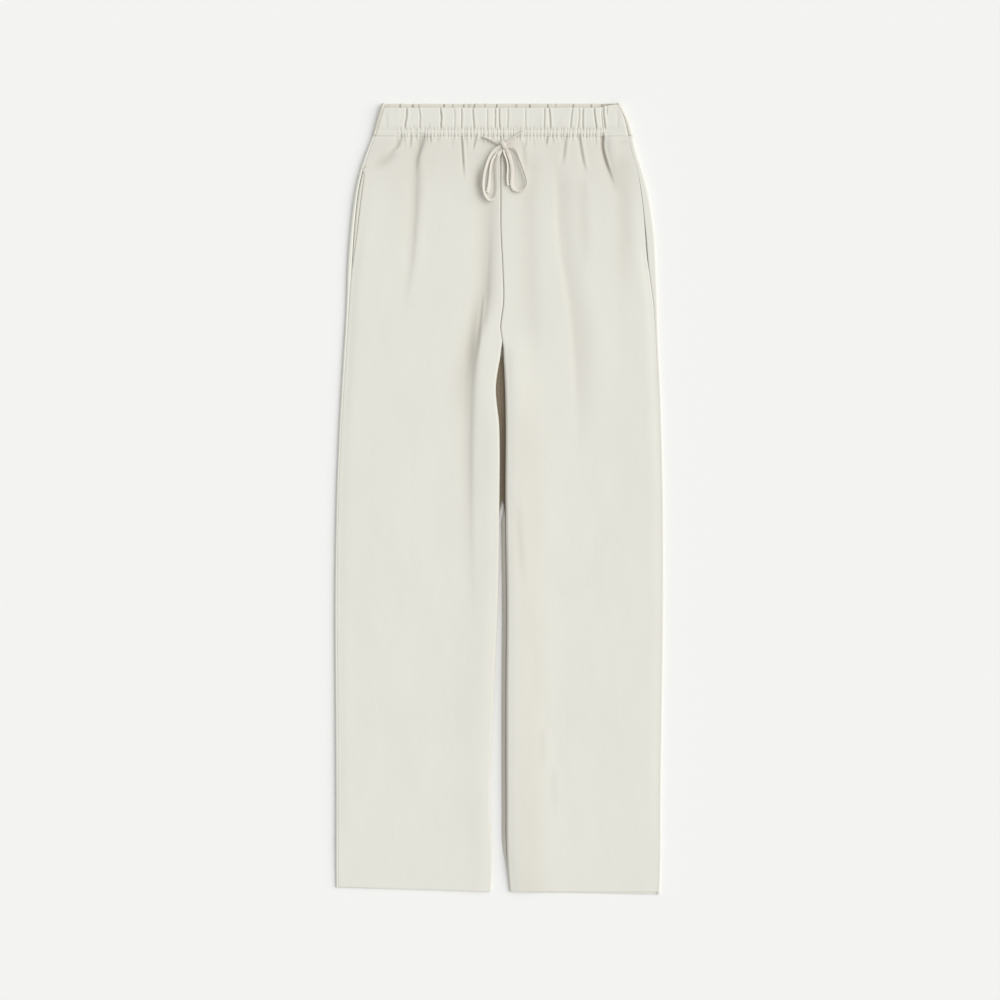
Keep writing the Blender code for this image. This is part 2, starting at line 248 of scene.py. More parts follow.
@dataclass(frozen=True)
class Outline:
    """The trousers' outline, read at any height."""

    sections: tuple[Section, ...] = SECTIONS
    side_loft: float = 4.6
    drop_reach: float = 8.0
    left_roll: float = 2.4
    right_roll: float = 0.8
    left_fold: float = 4.0
    right_fold: float = 3.2

    def read(self, column: str, y: Array) -> Array:
        """Reads one column of the sections.

        Args:
            column: A field of Section.
            y: Heights to read at.

        Returns:
            The column's value at each height.
        """
        heights = [row.y for row in self.sections]
        return through(heights, [getattr(row, column) for row in self.sections], y)

    def loft(self, y: Array) -> Array:
        """Height of the cloth's upper face."""
        return self.read("loft", y)

    def side_height(self, y: Array) -> Array:
        """Height of the folded sides, which lie flatter than the middle below the hip."""
        flatter = 1.0 - smooth_step(280.0, 440.0, y)
        return self.loft(y) - np.maximum(self.loft(y) - self.side_loft, 0.0) * flatter

    def side_drop(self, distance: Array, y: Array) -> Array:
        """How far the cloth has come down towards a side, by its distance from the side."""
        return (self.loft(y) - self.side_height(y)) * bell(distance, self.drop_reach)

    def side_edge(self, side: Side, y: Array) -> Array:
        """X of the outer edge of a leg or of the waist."""
        return self.read("left_side" if side is Side.LEFT else "right_side", y)

    def seam_inset(self, side: Side, y: Array) -> Array:
        """How far the side seam lies in from the side."""
        asked = self.read("left_seam" if side is Side.LEFT else "right_seam", y)
        return np.maximum(asked, self.loft(y) / 2 + 0.2 + SEAM_GAP)

    def inner_edge(self, side: Side, y: Array) -> Array:
        """X of the centre seam above the fork and of the leg's inner fold below it.

        Args:
            side: The leg.
            y: Heights to read at.

        Returns:
            X at each height, with the left kept clear of the right.
        """
        right = self.read("right_inner", y)
        if side is Side.RIGHT:
            return right
        return np.maximum(self.read("left_inner", y), right + SEAM_GAP)

    def inner_rise(self, side: Side, y: Array) -> Array:
        """How far the springy inner fold of a leg stands above the rest of it."""
        return along_rows(LEFT_RISE if side is Side.LEFT else RIGHT_RISE, y)

    def inner_roll(self, side: Side, y: Array) -> Array:
        """How far the cloth has rolled down where it reaches the inner fold."""
        return (self.left_roll if side is Side.LEFT else self.right_roll) * self.curled(y)

    def inner_radius(self, side: Side, y: Array) -> Array:
        """Radius of the inner fold of a leg."""
        return (self.loft(y) + self.inner_rise(side, y) - self.inner_roll(side, y)) / 2

    def inner_width(self, side: Side, y: Array) -> Array:
        """Half the thickness of the inner fold across X; it stands steeper than it is wide."""
        widest = self.left_fold if side is Side.LEFT else self.right_fold
        return np.minimum(self.inner_radius(side, y), widest)

    def curled(self, y: Array) -> Array:
        """0 where the panels meet at the centre seam, 1 where they curl round an inner fold."""
        return 1.0 - smooth_step(CROTCH_Y - FORK_LENGTH, CROTCH_Y, y)


# ---------------------------------------------------------------- folds


@dataclass(frozen=True)
class Fold:
    """A fold that runs down the cloth: a trough with a raised lip on its +X side."""

    name: str
    line: Rows
    width: float
    depth: float
    lean: float = 0.3
    lip: float = 0.5
    head_fade: float = 0.0
    foot_fade: float = 0.5
    # Painted shade: how far the trough's colour is darkened for each millimetre of its depth.
    tone: float = 0.10

    def profile(self, x: Array, y: Array) -> tuple[Array, Array]:
        """The fold's trough and its lip, each from 0 to 1.

        Args:
            x: Places across.
            y: Places along.

        Returns:
            Trough and lip at each place.
        """
        ys = np.array([p[1] for p in self.line])[::-1]
        xs = np.array([p[0] for p in self.line])[::-1]
        middle = through(ys, xs, y)
        d = x - middle
        left = self.width * (1.0 + self.lean)
        right = self.width * (1.0 - self.lean)
        trough = bell(d, np.where(d < 0, left, right))
        rise = bell(d - right * 2.0, self.width * 1.3)
        share = (ys[-1] - y) / (ys[-1] - ys[0])
        ends = 1.0 - smooth_step(1.0 - self.foot_fade, 1.0, share)
        if self.head_fade > 0.0:
            ends = ends * smooth_step(0.0, self.head_fade, share)
        else:
            ends = ends * smooth_step(-0.06, 0.0, share)
        return ends * trough, ends * rise

    def height(self, x: Array, y: Array) -> Array:
        """Height that the fold adds, below 0 in the trough."""
        trough, rise = self.profile(x, y)
        return self.depth * (self.lip * rise - trough)

    def shade(self, x: Array, y: Array) -> Array:
        """How much painted shade darkens the colour in the trough."""
        return self.tone * self.depth * self.profile(x, y)[0]


FRONT_FOLDS = (
    Fold("right_corner", ((-132.5, 488.5), (-138.0, 475.0), (-145.5, 467.0), (-152.0, 459.0)),
         3.6, 1.2, 0.2, 0.35, 0.0, 0.5, 0.16),
    Fold("right_corner_foot", ((-143.0, 470.0), (-150.0, 461.0), (-161.0, 450.0), (-168.0, 440.0)),
         9.5, 1.3, 0.1, 0.2, 0.4, 0.5, 0.13),
    Fold("right_corner_short", ((-118.5, 488.5), (-121.0, 470.0)), 1.7, 0.8, tone=0.16),
    Fold("right_hip", ((-102.9, 488.5), (-107.0, 475.0), (-112.3, 458.0), (-113.0, 429.0),
                       (-115.0, 382.0), (-121.0, 311.0), (-137.0, 225.0)),
         6.5, 1.3, 0.3, 0.35, 0.0, 0.6, 0.08),
    Fold("right_hip_soft", ((-104.0, 488.5), (-109.0, 470.0), (-112.0, 430.0), (-115.0, 382.0),
                            (-121.0, 311.0)), 15.0, 0.3, 0.0, 0.1, 0.0, 0.6, 0.20),
    Fold("right_hip_pleat", ((-102.9, 488.5), (-106.0, 475.0), (-111.0, 456.0), (-112.5, 432.0)),
         3.4, 1.1, 0.4, 0.3, 0.0, 0.6, 0.10),
    Fold("right_short", ((-92.8, 488.5), (-92.0, 478.0)), 1.5, 0.8, tone=0.16),
    Fold("right_waist_pleat", ((-50.6, 488.5), (-48.8, 458.0), (-47.2, 428.0)),
         1.5, 1.5, 0.45, 0.3, 0.0, 0.5, 0.26),
    Fold("right_fly", ((-31.5, 488.5), (-35.6, 468.0)), 1.5, 1.2, 0.4, 0.4, tone=0.22),
    Fold("right_leg_trough", ((-15.5, 420.0), (-16.0, 326.0), (-21.5, 251.0), (-34.0, 199.0),
                              (-40.4, 110.0), (-40.6, -60.0), (-35.0, -190.0)),
         9.0, 1.8, 0.45, 0.3, 0.3, 0.55, 0.085),
    Fold("right_leg_trough_top", ((-14.0, 425.0), (-14.5, 362.0), (-18.5, 268.0), (-31.0, 205.0)),
         15.0, 1.2, 0.2, 0.1, 0.15, 0.35, 0.12),
    Fold("right_leg_trough_side", ((-26.0, 262.0), (-38.0, 205.0), (-48.0, 150.0), (-49.0, 90.0)),
         14.0, 1.1, 0.3, 0.1, 0.4, 0.5, 0.12),
    Fold("right_leg_dark", ((-27.0, 290.0), (-31.0, 262.0), (-35.5, 228.0), (-37.0, 208.0),
                            (-38.0, 170.0), (-38.5, 135.0)), 6.5, 0.6, 0.3, 0.1, 0.35, 0.5, 0.30),
    Fold("right_leg_edge", ((-21.0, 285.0), (-24.4, 252.0), (-29.0, 205.0), (-33.0, 175.0)),
         2.4, 0.8, 0.5, 0.8, 0.3, 0.4, 0.12),
    Fold("left_short_inner", ((65.5, 488.5), (61.8, 474.0)), 1.5, 1.2, 0.4, 0.4, tone=0.24),
    Fold("left_waist_inner", ((89.2, 488.5), (86.3, 460.0), (83.0, 446.0)),
         2.6, 1.2, 0.3, 0.3, tone=0.14),
    Fold("left_pleat", ((107.5, 488.5), (109.6, 476.0), (113.0, 456.0), (117.0, 436.0)),
         2.4, 1.4, 0.45, 0.4, tone=0.16),
    Fold("left_corner_pleat", ((140.0, 490.0), (139.6, 474.0), (143.4, 457.0), (149.5, 438.0),
                               (156.0, 418.0)), 2.0, 2.1, 0.5, 0.5, 0.0, 0.6, 0.22),
    Fold("left_corner", ((140.0, 488.5), (144.0, 457.0), (149.0, 439.0), (157.0, 405.0)),
         7.0, 1.3, 0.2, 0.35, tone=0.10),
    Fold("left_fly", ((30.4, 484.0), (34.5, 440.0)), 4.0, 0.7, 0.3, 0.3, 0.2),
    # The next three are shallow troughs beside, between and under the bow's loops, darkened with
    # the bow's painted shadow.
    Fold("beside_loop", ((-22.0, 458.0), (-26.5, 440.0), (-27.5, 420.0), (-24.0, 396.0)),
         4.4, 1.0, 0.5, 0.1, 0.4, 0.5, 0.42),
    Fold("between_loops", ((7.6, 472.0), (9.4, 456.0), (8.6, 432.0), (7.0, 410.0)),
         3.8, 0.9, 0.2, 0.1, 0.1, 0.6, 0.42),
    Fold("under_loop", ((-6.0, 462.0), (-9.0, 440.0), (-9.0, 412.0)),
         8.0, 0.5, 0.2, 0.1, 0.3, 0.5, 0.16),
    Fold("left_hip", ((76.2, 462.0), (80.5, 416.0), (82.0, 362.0), (87.5, 319.0), (96.0, 267.0),
                      (101.5, 214.0), (106.0, 133.0), (110.0, 25.0)),
         10.5, 0.95, -0.4, 0.4, 0.12, 0.4, 0.11),
    Fold("left_hip_outer", ((107.0, 440.0), (110.0, 405.0), (112.0, 362.0), (114.0, 300.0)),
         8.0, 0.5, 0.0, 0.3, 0.2, 0.5, 0.18),
    Fold("left_side", ((161.0, 470.0), (164.0, 440.0), (167.0, 405.0), (168.0, 362.0),
                       (168.0, 300.0), (169.0, 240.0)), 12.5, 0.5, 0.0, 0.2, 0.1, 0.5, 0.24),
    Fold("left_thigh_soft", ((43.0, 472.0), (41.0, 440.0), (38.5, 380.0), (39.0, 300.0),
                             (42.5, 234.0), (45.0, 180.0), (46.0, 140.0)),
         13.0, 0.55, 0.1, 0.3, 0.08, 0.4, 0.15),
    Fold("left_knee", ((21.0, 5.0), (26.0, -60.0), (34.0, -135.0)), 6.0, 0.5, 0.2, 0.5, 0.3),
    Fold("left_shin_inner", ((55.0, -305.0), (56.0, -370.0)), 5.0, 0.35, 0.2, 0.5, 0.3),
    Fold("left_shin", ((70.0, -355.0), (71.5, -440.0)), 6.0, 0.35, 0.2, 0.5, 0.3),
)

BACK_FOLDS = (
    Fold("right_seat", ((-120.0, 488.0), (-112.0, 400.0), (-96.0, 300.0)), 7.0, 1.0),
    Fold("right_centre", ((-30.0, 488.0), (-38.0, 420.0)), 4.0, 0.8),
    Fold("left_seat", ((98.0, 488.0), (104.0, 410.0), (120.0, 320.0)), 7.0, 0.9),
    Fold("left_centre", ((46.0, 488.0), (40.0, 430.0)), 4.0, 0.8),
    Fold("right_under_knee", ((-90.0, 60.0), (-96.0, -60.0), (-110.0, -150.0)),
         9.0, 0.8, 0.2, 0.4, 0.3),
    Fold("left_under_thigh", ((60.0, 240.0), (72.0, 120.0), (90.0, 20.0)),
         9.0, 0.9, 0.2, 0.4, 0.3),
)


@dataclass(frozen=True)
class Crease:
    """A crease of the gathered band, from its top to its foot."""

    top_x: float
    foot_x: float
    depth: float
    width: float = 1.5
    top_y: float = BAND_FRONT_TOP + 2.0
    foot_y: float = WAIST_SEAM_Y + 10.5


BAND_CREASES = (
    Crease(-125.0, -127.6, 1.5), Crease(-117.6, -114.5, 0.5, 1.4, 506.0),
    Crease(-108.2, -106.2, 0.9, 1.4), Crease(-98.0, -93.6, 0.5, 1.3, 508.0),
    Crease(-79.8, -77.3, 1.6), Crease(-60.8, -60.2, 0.5), Crease(-51.6, -51.2, 1.1),
    Crease(-36.4, -32.8, 1.2), Crease(-16.4, -16.0, 0.6), Crease(-5.4, -5.2, 1.1),
    Crease(0.2, 0.0, 1.2), Crease(10.9, 10.9, 0.7), Crease(21.6, 21.8, 0.5, 1.4, 505.0),
    Crease(34.4, 34.6, 0.6), Crease(46.4, 46.6, 0.6, 1.3, 504.0), Crease(60.4, 59.0, 0.9),
    Crease(66.2, 69.4, 1.4), Crease(98.6, 94.4, 1.0), Crease(107.0, 106.8, 0.7),
    Crease(112.2, 112.0, 1.2), Crease(127.2, 132.2, 1.4), Crease(139.8, 143.4, 1.5),
    Crease(137.6, 139.8, 1.0, 1.3), Crease(145.0, 144.8, 0.8, 1.4, 528.0, 516.0),
    Crease(-152.0, -152.4, 0.25, 3.0, 522.0), Crease(158.0, 160.0, 0.25, 3.0, 522.0),
)

BACK_BAND_CREASES = tuple(
    Crease(x, x, depth, 1.2) for x, depth in (
        (-134.4, 1.4), (-116.8, 1.6), (-108.8, 0.8), (-74.6, 1.5), (-63.0, 0.8), (-48.2, 1.3),
        (-40.3, 0.9), (-34.2, 1.4), (-19.4, 0.8), (-3.2, 1.4), (22.4, 1.0), (40.7, 1.5),
        (64.7, 1.4), (75.6, 0.8), (100.1, 1.5), (124.1, 1.2), (139.0, 1.3),
    )
)


@dataclass(frozen=True)
class Ruching:
    """Small puckers along the channel, and the gathers that fall from them onto the legs."""

    first_x: float = -137.5
    last_x: float = 140.0
    pitch: float = 4.5
    seed: int = 11

    def places(self) -> Array:
        """X of each pucker.

        Returns:
            Places between the first and the last, unevenly spaced.
        """
        count = round((self.last_x - self.first_x) / self.pitch)
        even = np.linspace(self.first_x, self.last_x, count + 1)
        stray = np.random.default_rng(self.seed).uniform(-0.26, 0.26, count + 1)
        return even + stray * self.pitch

    def strengths(self) -> Array:
        """How hard each pucker pulls, between about 0.4 and 1."""
        return np.random.default_rng(self.seed + 1).uniform(0.35, 1.0, len(self.places()))

    def depth(self, x: Array, width: float) -> Array:
        """How far the puckers pull the cloth in across x.

        Args:
            x: Places across.
            width: Width of a pucker.

        Returns:
            A depth between 0 and about 1 at each place.
        """
        total = np.zeros_like(np.asarray(x, float))
        for middle, strength in zip(self.places(), self.strengths()):
            total += strength * bell(x - middle, width)
        return np.minimum(total, 1.2)

    def gathers(self) -> tuple[Fold, ...]:
        """The short folds below the puckers.

        Returns:
            One fold for each pucker, of uneven length and depth.
        """
        draw = np.random.default_rng(self.seed + 2)
        folds = []
        for number, x in enumerate(self.places()):
            length = 5.0 + 20.0 * draw.random() ** 2.2
            sway = draw.uniform(-0.10, 0.10) * length
            line = ((x, WAIST_SEAM_Y), (x + sway, WAIST_SEAM_Y - length))
            folds.append(Fold(f"gather_{number}", line, draw.uniform(1.0, 1.9),
                              draw.uniform(0.25, 0.8), 0.3, 0.4, 0.0, 0.9, 0.15))
        return tuple(folds)


@dataclass(frozen=True)
class Lie:
    """How the cloth of the legs lies over its form: its folds, gathers and swells."""

    folds: tuple[Fold, ...]
    gathers: tuple[Fold, ...] = ()
    swell: float = 0.28
    ripple: float = 0.10
    seed: int = 3
    mottle: float = 0.013

    def height(self, x: Array, y: Array) -> Array:
        """Height that the lie adds to the form.

        Args:
            x: Places across.
            y: Places along.

        Returns:
            The added height at each place.
        """
        added = self.swell * billow(x, y, 46.0, 150.0, self.seed)
        added = added + self.ripple * billow(x, y, 17.0, 52.0, self.seed + 1)
        for fold in self.folds + self.gathers:
            added = added + fold.height(x, y)
        return added

    def shade(self, x: Array, y: Array) -> Array:
        """How much painted shade darkens all the troughs, plus a faint random mottling of the
        colour.
        """
        mottled = self.mottle * (1.0 + billow(x, y, 22.0, 64.0, self.seed + 2))
        return mottled + sum(fold.shade(x, y) for fold in self.folds + self.gathers)


# ---------------------------------------------------------------- sheets of cloth


def add_object(name: str, data: bpy.types.ID) -> bpy.types.Object:
    """Puts an object in the scene.

    Args:
        name: Its name.
        data: Its mesh, light or camera.

    Returns:
        The object.
    """
    made = bpy.data.objects.new(name, data)
    bpy.context.scene.collection.objects.link(made)
    return made


def lay_cloth(name: str, columns: int, rows: int, place: Place, wall: float,
              flipped: bool, shade: Place | None = None) -> bpy.types.Object:
    """Lays a sheet of cloth: a grid placed by its columns and rows, with a thin wall.

    The sheet's map follows the threads: U runs across the cloth and V along it, in metres.

    Args:
        name: The piece's name.
        columns: Faces across.
        rows: Faces along.
        place: Gives the points, in millimetres, for arrays of columns and rows.
        wall: Thickness of the cloth, in millimetres.
        flipped: True where the grid's faces would point inwards.
        shade: Gives the painted shade at each point, from 0 to 1, which darkens its colour.

    Returns:
        The piece, not yet dressed.
    """
    shape = bmesh.new()
    bmesh.ops.create_grid(shape, x_segments=columns, y_segments=rows, size=0.5)
    if flipped:
        bmesh.ops.reverse_faces(shape, faces=shape.faces[:])
    mesh = bpy.data.meshes.new(name)
    shape.to_mesh(mesh)
    shape.free()
    column, row = np.meshgrid(np.arange(columns + 1), np.arange(rows + 1))
    points = place(column, row)
    across = np.linalg.norm(np.diff(points[..., (0, 2)], axis=1), axis=-1)
    u = np.concatenate([np.zeros((rows + 1, 1)), np.cumsum(across, axis=1)], axis=1)
    u -= u[:, columns // 2][:, None]
    along = np.linalg.norm(np.diff(points[:, columns // 2], axis=0), axis=-1)
    v = np.concatenate([[0.0], np.cumsum(along)])
    spots = np.empty(len(mesh.vertices) * 3)
    mesh.vertices.foreach_get("co", spots)
    spots = spots.reshape(-1, 3)
    at_column = np.rint((spots[:, 0] + 0.5) * columns).astype(int)
    at_row = np.rint((spots[:, 1] + 0.5) * rows).astype(int)
    mesh.vertices.foreach_set("co", (points[at_row, at_column] * MM).ravel())
    corners = np.empty(len(mesh.loops), int)
    mesh.loops.foreach_get("vertex_index", corners)
    threads = np.stack([u[at_row, at_column], v[at_row]], axis=1)[corners] * MM
    layer = mesh.uv_layers.new(name="cloth")
    layer.data.foreach_set("uv", threads.ravel())
    # Painted shade, kept as the point attribute that the finish darkens the colour by.
    if shade is not None:
        depth = mesh.attributes.new("shade", "FLOAT", "POINT")
        depth.data.foreach_set("value", shade(column, row)[at_row, at_column].ravel())
    mesh.update()
    mesh.shade_smooth()
    piece = add_object(name, mesh)
    if wall > 0.0:
        thicken = piece.modifiers.new("wall", "SOLIDIFY")
        thicken.thickness = wall * MM
        thicken.offset = -1.0
        thicken.use_even_offset = True
    return piece


def hang(piece: bpy.types.Object, material: bpy.types.Material,
         nodes: tuple[str, ...]) -> bpy.types.Object:
    """Dresses a piece, rides it on the body and has it stand for its solids.

    Args:
        piece: The piece.
        material: Its finish.
        nodes: The solids it stands for.

    Returns:
        The same piece.
    """
    piece.data.materials.append(material)
    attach(piece, ROOT)
    if nodes:
        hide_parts(*nodes)
    return piece


def turned_rows(heights: Array, turn: float, radius: float, inner_rows: int,
                round_rows: int = 4) -> tuple[Array, Array]:
    """Rows of a sheet whose low edge is turned in: up inside, round the fold, then up outside.

    Args:
        heights: Heights of the outer face, rising from the fold.
        turn: How far the turning reaches up inside.
        radius: Half the thickness of the turned edge.
        inner_rows: Rows of the turning.
        round_rows: Rows round the fold.

    Returns:
        Height and depth under the outer face of every row.
    """
    fold = heights[0]
    inside = np.linspace(fold + turn, fold + radius, inner_rows, endpoint=False)
    angles = np.linspace(math.pi, 0.0, round_rows + 1)[:-1]
    rounding = fold + radius - radius * np.sin(angles)
    rise = np.concatenate([[fold + radius], heights[1:]])
    y = np.concatenate([inside, rounding, rise])
    depth = np.concatenate([np.full(inner_rows, 2 * radius), radius - radius * np.cos(angles),
                            np.zeros(len(rise))])
    return y, depth


@dataclass
class LegPanel:
    """What the fronts and the backs have in common."""

    name: str
    side: Side
    hem_side: float
    hem_inner: float
    outline: Outline
    lie: Lie
    cut: tuple[float, float, float]
    seam_pull: Rows
    inner_curl: int = 12
    heights: Array = field(init=False)
    depths: Array = field(init=False)

    def __post_init__(self) -> None:
        """Works out the rows, closer together at the hem and below the waist."""
        hem = np.linspace(HEM_Y, HEM_Y + HEM_FINE, 6)
        leg = np.linspace(HEM_Y + HEM_FINE, HIP_Y, self.leg_rows())[1:]
        waist = np.linspace(HIP_Y, WAIST_SEAM_Y - 0.04, self.waist_rows())[1:]
        rising = np.concatenate([hem, leg, waist])
        self.heights, self.depths = turned_rows(rising, HEM_TURN, TURN_RADIUS, 5)

    def leg_rows(self) -> int:
        """Rows between the hem and the hip."""
        return 110

    def waist_rows(self) -> int:
        """Rows between the hip and the waist seam."""
        return 30

    def row_height(self, row: Array, share: Array) -> Array:
        """Height of each point, with the hem's slope taken up over the foot of the leg.

        Args:
            row: Rows of the grid.
            share: 0 at the side seam, 1 at the inner edge.

        Returns:
            Y of each point.
        """
        y = self.heights[row]
        hem = self.hem_side + (self.hem_inner - self.hem_side) * share
        hem = hem + 0.5 * billow(share * 210.0, share * 0.0, 38.0, 10.0, self.lie.seed + 9)
        near = 1.0 - smooth_step(HEM_Y, HEM_Y + HEM_REACH, y)
        return y + (hem - HEM_Y) * near

    def seam_dip(self, distance: Array, y: Array) -> Array:
        """How far a seamed edge is pulled down.

        Args:
            distance: Distance from the edge.
            y: Height of the point.

        Returns:
            The dip, uneven along the seam.
        """
        pull = 1.0 + 0.55 * billow(y, y * 0.0, 21.0, 10.0, self.lie.seed + 5)
        pull = pull * along_rows(self.seam_pull, y)
        return SEAM_DIP * pull * bell(distance, SEAM_REACH)

    def under_fork(self, y: Array) -> Array:
        """1 below the fork, where the backs meet under the gap between the legs, else 0."""
        return smooth_step(FORK_FOOT - 40.0, FORK_FOOT - 8.0, y)

    def finish(self, columns: int, place: Place, flipped: bool,
               material: bpy.types.Material) -> bpy.types.Object:
        """Lays the panel's sheet, dresses it and hides the solid it stands for.

        Args:
            columns: Faces across.
            place: The panel's points.
            flipped: True where the grid's faces would point inwards.
            material: The cloth.

        Returns:
            The panel.
        """
        piece = lay_cloth(self.name + "_cloth", columns, len(self.heights) - 1, place, WALL,
                          flipped, self.shade)
        hang(piece, material, (self.name,))
        return piece


@dataclass
class LegFront(LegPanel):
    """A front: from the side seam to the centre seam, and round the inner fold of the leg."""

    flat: int = 190
    near: tuple[float, ...] = (0.0, 0.35, 0.8, 1.4, 2.3, 3.6)
    gape: Rows = ()
    rise_reach: float = 38.0
    roll_reach: float = 10.0
    pleat_fade: float = 6.0
    under_turn: float = 58.0
    # Painted shade below the waistband, fading down the hip.
    below_band_shade: float = 0.095
    hip_reach: float = 72.0
    # Painted shade on the inner slope of the leg, which faces the light.
    inner_slope_shade: float = 0.0
    band: "Waistband | None" = None

    def leg_rows(self) -> int:
        """Rows between the hem and the hip."""
        return 142

    def waist_rows(self) -> int:
        """Rows between the hip and the waist seam."""
        return 52

    def pocket_gape(self, y: Array) -> Array:
        """How far the pocket's edge stands in from the side seam.

        Args:
            y: Heights to read at.

        Returns:
            The gape at each height, 0 above and below the pocket.
        """
        inside = (y > self.gape[0][0]) & (y < self.gape[-1][0])
        return np.where(inside, np.maximum(along_rows(self.gape, y), 0.0), 0.0)

    def place(self, column: Array, row: Array) -> Array:
        """The front's points.

        Args:
            column: Columns of the grid, from the side seam.
            row: Rows of the grid, from the hem's turning.

        Returns:
            Points in millimetres.
        """
        share = np.minimum(1.0, column / self.flat)
        y = self.row_height(row, share)
        sign = self.side.value
        outline = self.outline
        gape = self.pocket_gape(y)
        start = outline.side_edge(self.side, y)
        start = start - sign * (outline.seam_inset(self.side, y) + gape)
        inner = outline.inner_edge(self.side, y)
        radius = outline.inner_radius(self.side, y)
        breadth = outline.inner_width(self.side, y)
        turn = inner + sign * breadth
        reach = np.abs(turn - start)
        close = np.array(self.near)
        last = len(close) - 1
        run = (column - last) / (self.flat - last)
        spread = close[last] + (reach - close[last]) * run
        from_seam = np.where(column <= last, close[np.minimum(column, last)], spread)
        x = start - sign * np.minimum(from_seam, reach)
        step = np.clip((column - self.flat) / self.inner_curl, 0.0, 1.0)
        depth = self.depths[row]
        curl = outline.curled(y)
        flat_x = x - sign * breadth * step
        from_inner = np.abs(flat_x - inner)
        top = outline.loft(y) + self.lie.height(flat_x, y)
        top = top - outline.side_drop(np.maximum(np.abs(flat_x - start) - 1.0, 0.0), y)
        top = top + outline.inner_rise(self.side, y) * bell(from_inner, self.rise_reach)
        top = top - outline.inner_roll(self.side, y) * bell(from_inner, self.roll_reach)
        near_band = 1.0 - smooth_step(0.0, self.pleat_fade, WAIST_SEAM_Y - y)
        top = top + near_band * self.band.gathered(flat_x, np.full_like(flat_x, WAIST_SEAM_Y))
        open_pocket = smooth_step(0.0, 2.5, gape)
        top = top - self.seam_dip(from_seam, y) * (1.0 - 0.65 * open_pocket)
        top = top - self.centre_dip(from_inner, y) * (1.0 - curl)
        flat_z = top - depth
        end = math.pi / 2 - FOLD_GAP / 2 / radius
        end = end + self.under_fork(y) * math.radians(self.under_turn)
        angle = step * end
        round_x = turn - sign * (breadth - depth) * np.sin(angle)
        round_z = top - radius + (radius - depth) * np.cos(angle)
        x = np.where(step > 0, flat_x + (round_x - flat_x) * curl, x)
        z = np.where(step > 0, flat_z + (round_z - flat_z) * curl, flat_z)
        return np.stack([x, y, z], axis=-1)

    def centre_dip(self, distance: Array, y: Array) -> Array:
        """How far the centre seam pulls the cloth down.

        Args:
            distance: Distance from the seam.
            y: Height of the point.

        Returns:
            The dip, deepest near the fork.
        """
        deep = 0.42 + 0.4 * (1.0 - smooth_step(215.0, 300.0, y))
        return deep * bell(distance, 1.0)

    def shade(self, column: Array, row: Array) -> Array:
        """How much painted shade each point gets: in its folds, along the centre seam, below the
        waistband, on the inner slope, over the inner fold and in the gap between the legs.

        Args:
            column: Columns of the grid, from the side seam.
            row: Rows of the grid, from the hem's turning.

        Returns:
            The shade at each point, from 0 to 1.
        """
        y = self.heights[row]
        step = np.clip((column - self.flat) / self.inner_curl, 0.0, 1.0)
        # Painted shade on the inner fold and in the gap between the legs, and a little over the
        # top of the fold.
        in_gap = smooth_step(0.35, 0.8, step) * self.outline.curled(y)
        in_gap = in_gap * (0.12 + 0.88 * self.under_fork(y))
        in_gap = in_gap + 0.09 * smooth_step(0.0, 0.25, step) * self.outline.curled(y)
        points = self.place(column, row)
        in_folds = self.lie.shade(points[..., 0], points[..., 1]) * (step <= 0.0)
        from_seam = np.abs(points[..., 0] - self.outline.inner_edge(self.side, y))
        # Painted shade in the groove of the centre seam.
        seam = 0.42 * bell(from_seam, 0.75) * (1.0 - self.outline.curled(y))
        below = WAIST_SEAM_Y - y
        # Painted shade below the waistband, lighter right at the seam.
        hip = self.below_band_shade * bell(below, self.hip_reach)
        hip = hip * (0.4 + 0.6 * smooth_step(0.0, 9.0, below))
        in_folds = in_folds + seam + hip
        # Painted shade on the inner slope, which faces the light.
        slope = between(8.0, 22.0, 30.0, 64.0, from_seam)
        in_folds = in_folds + self.inner_slope_shade * slope * (1.0 - smooth_step(60.0, 215.0, y))
        return np.clip(in_gap + in_folds, 0.0, 1.0)

    def build(self, material: bpy.types.Material) -> bpy.types.Object:
        """Lays the front."""
        columns = self.flat + self.inner_curl
        return self.finish(columns, self.place, self.side is Side.LEFT, material)


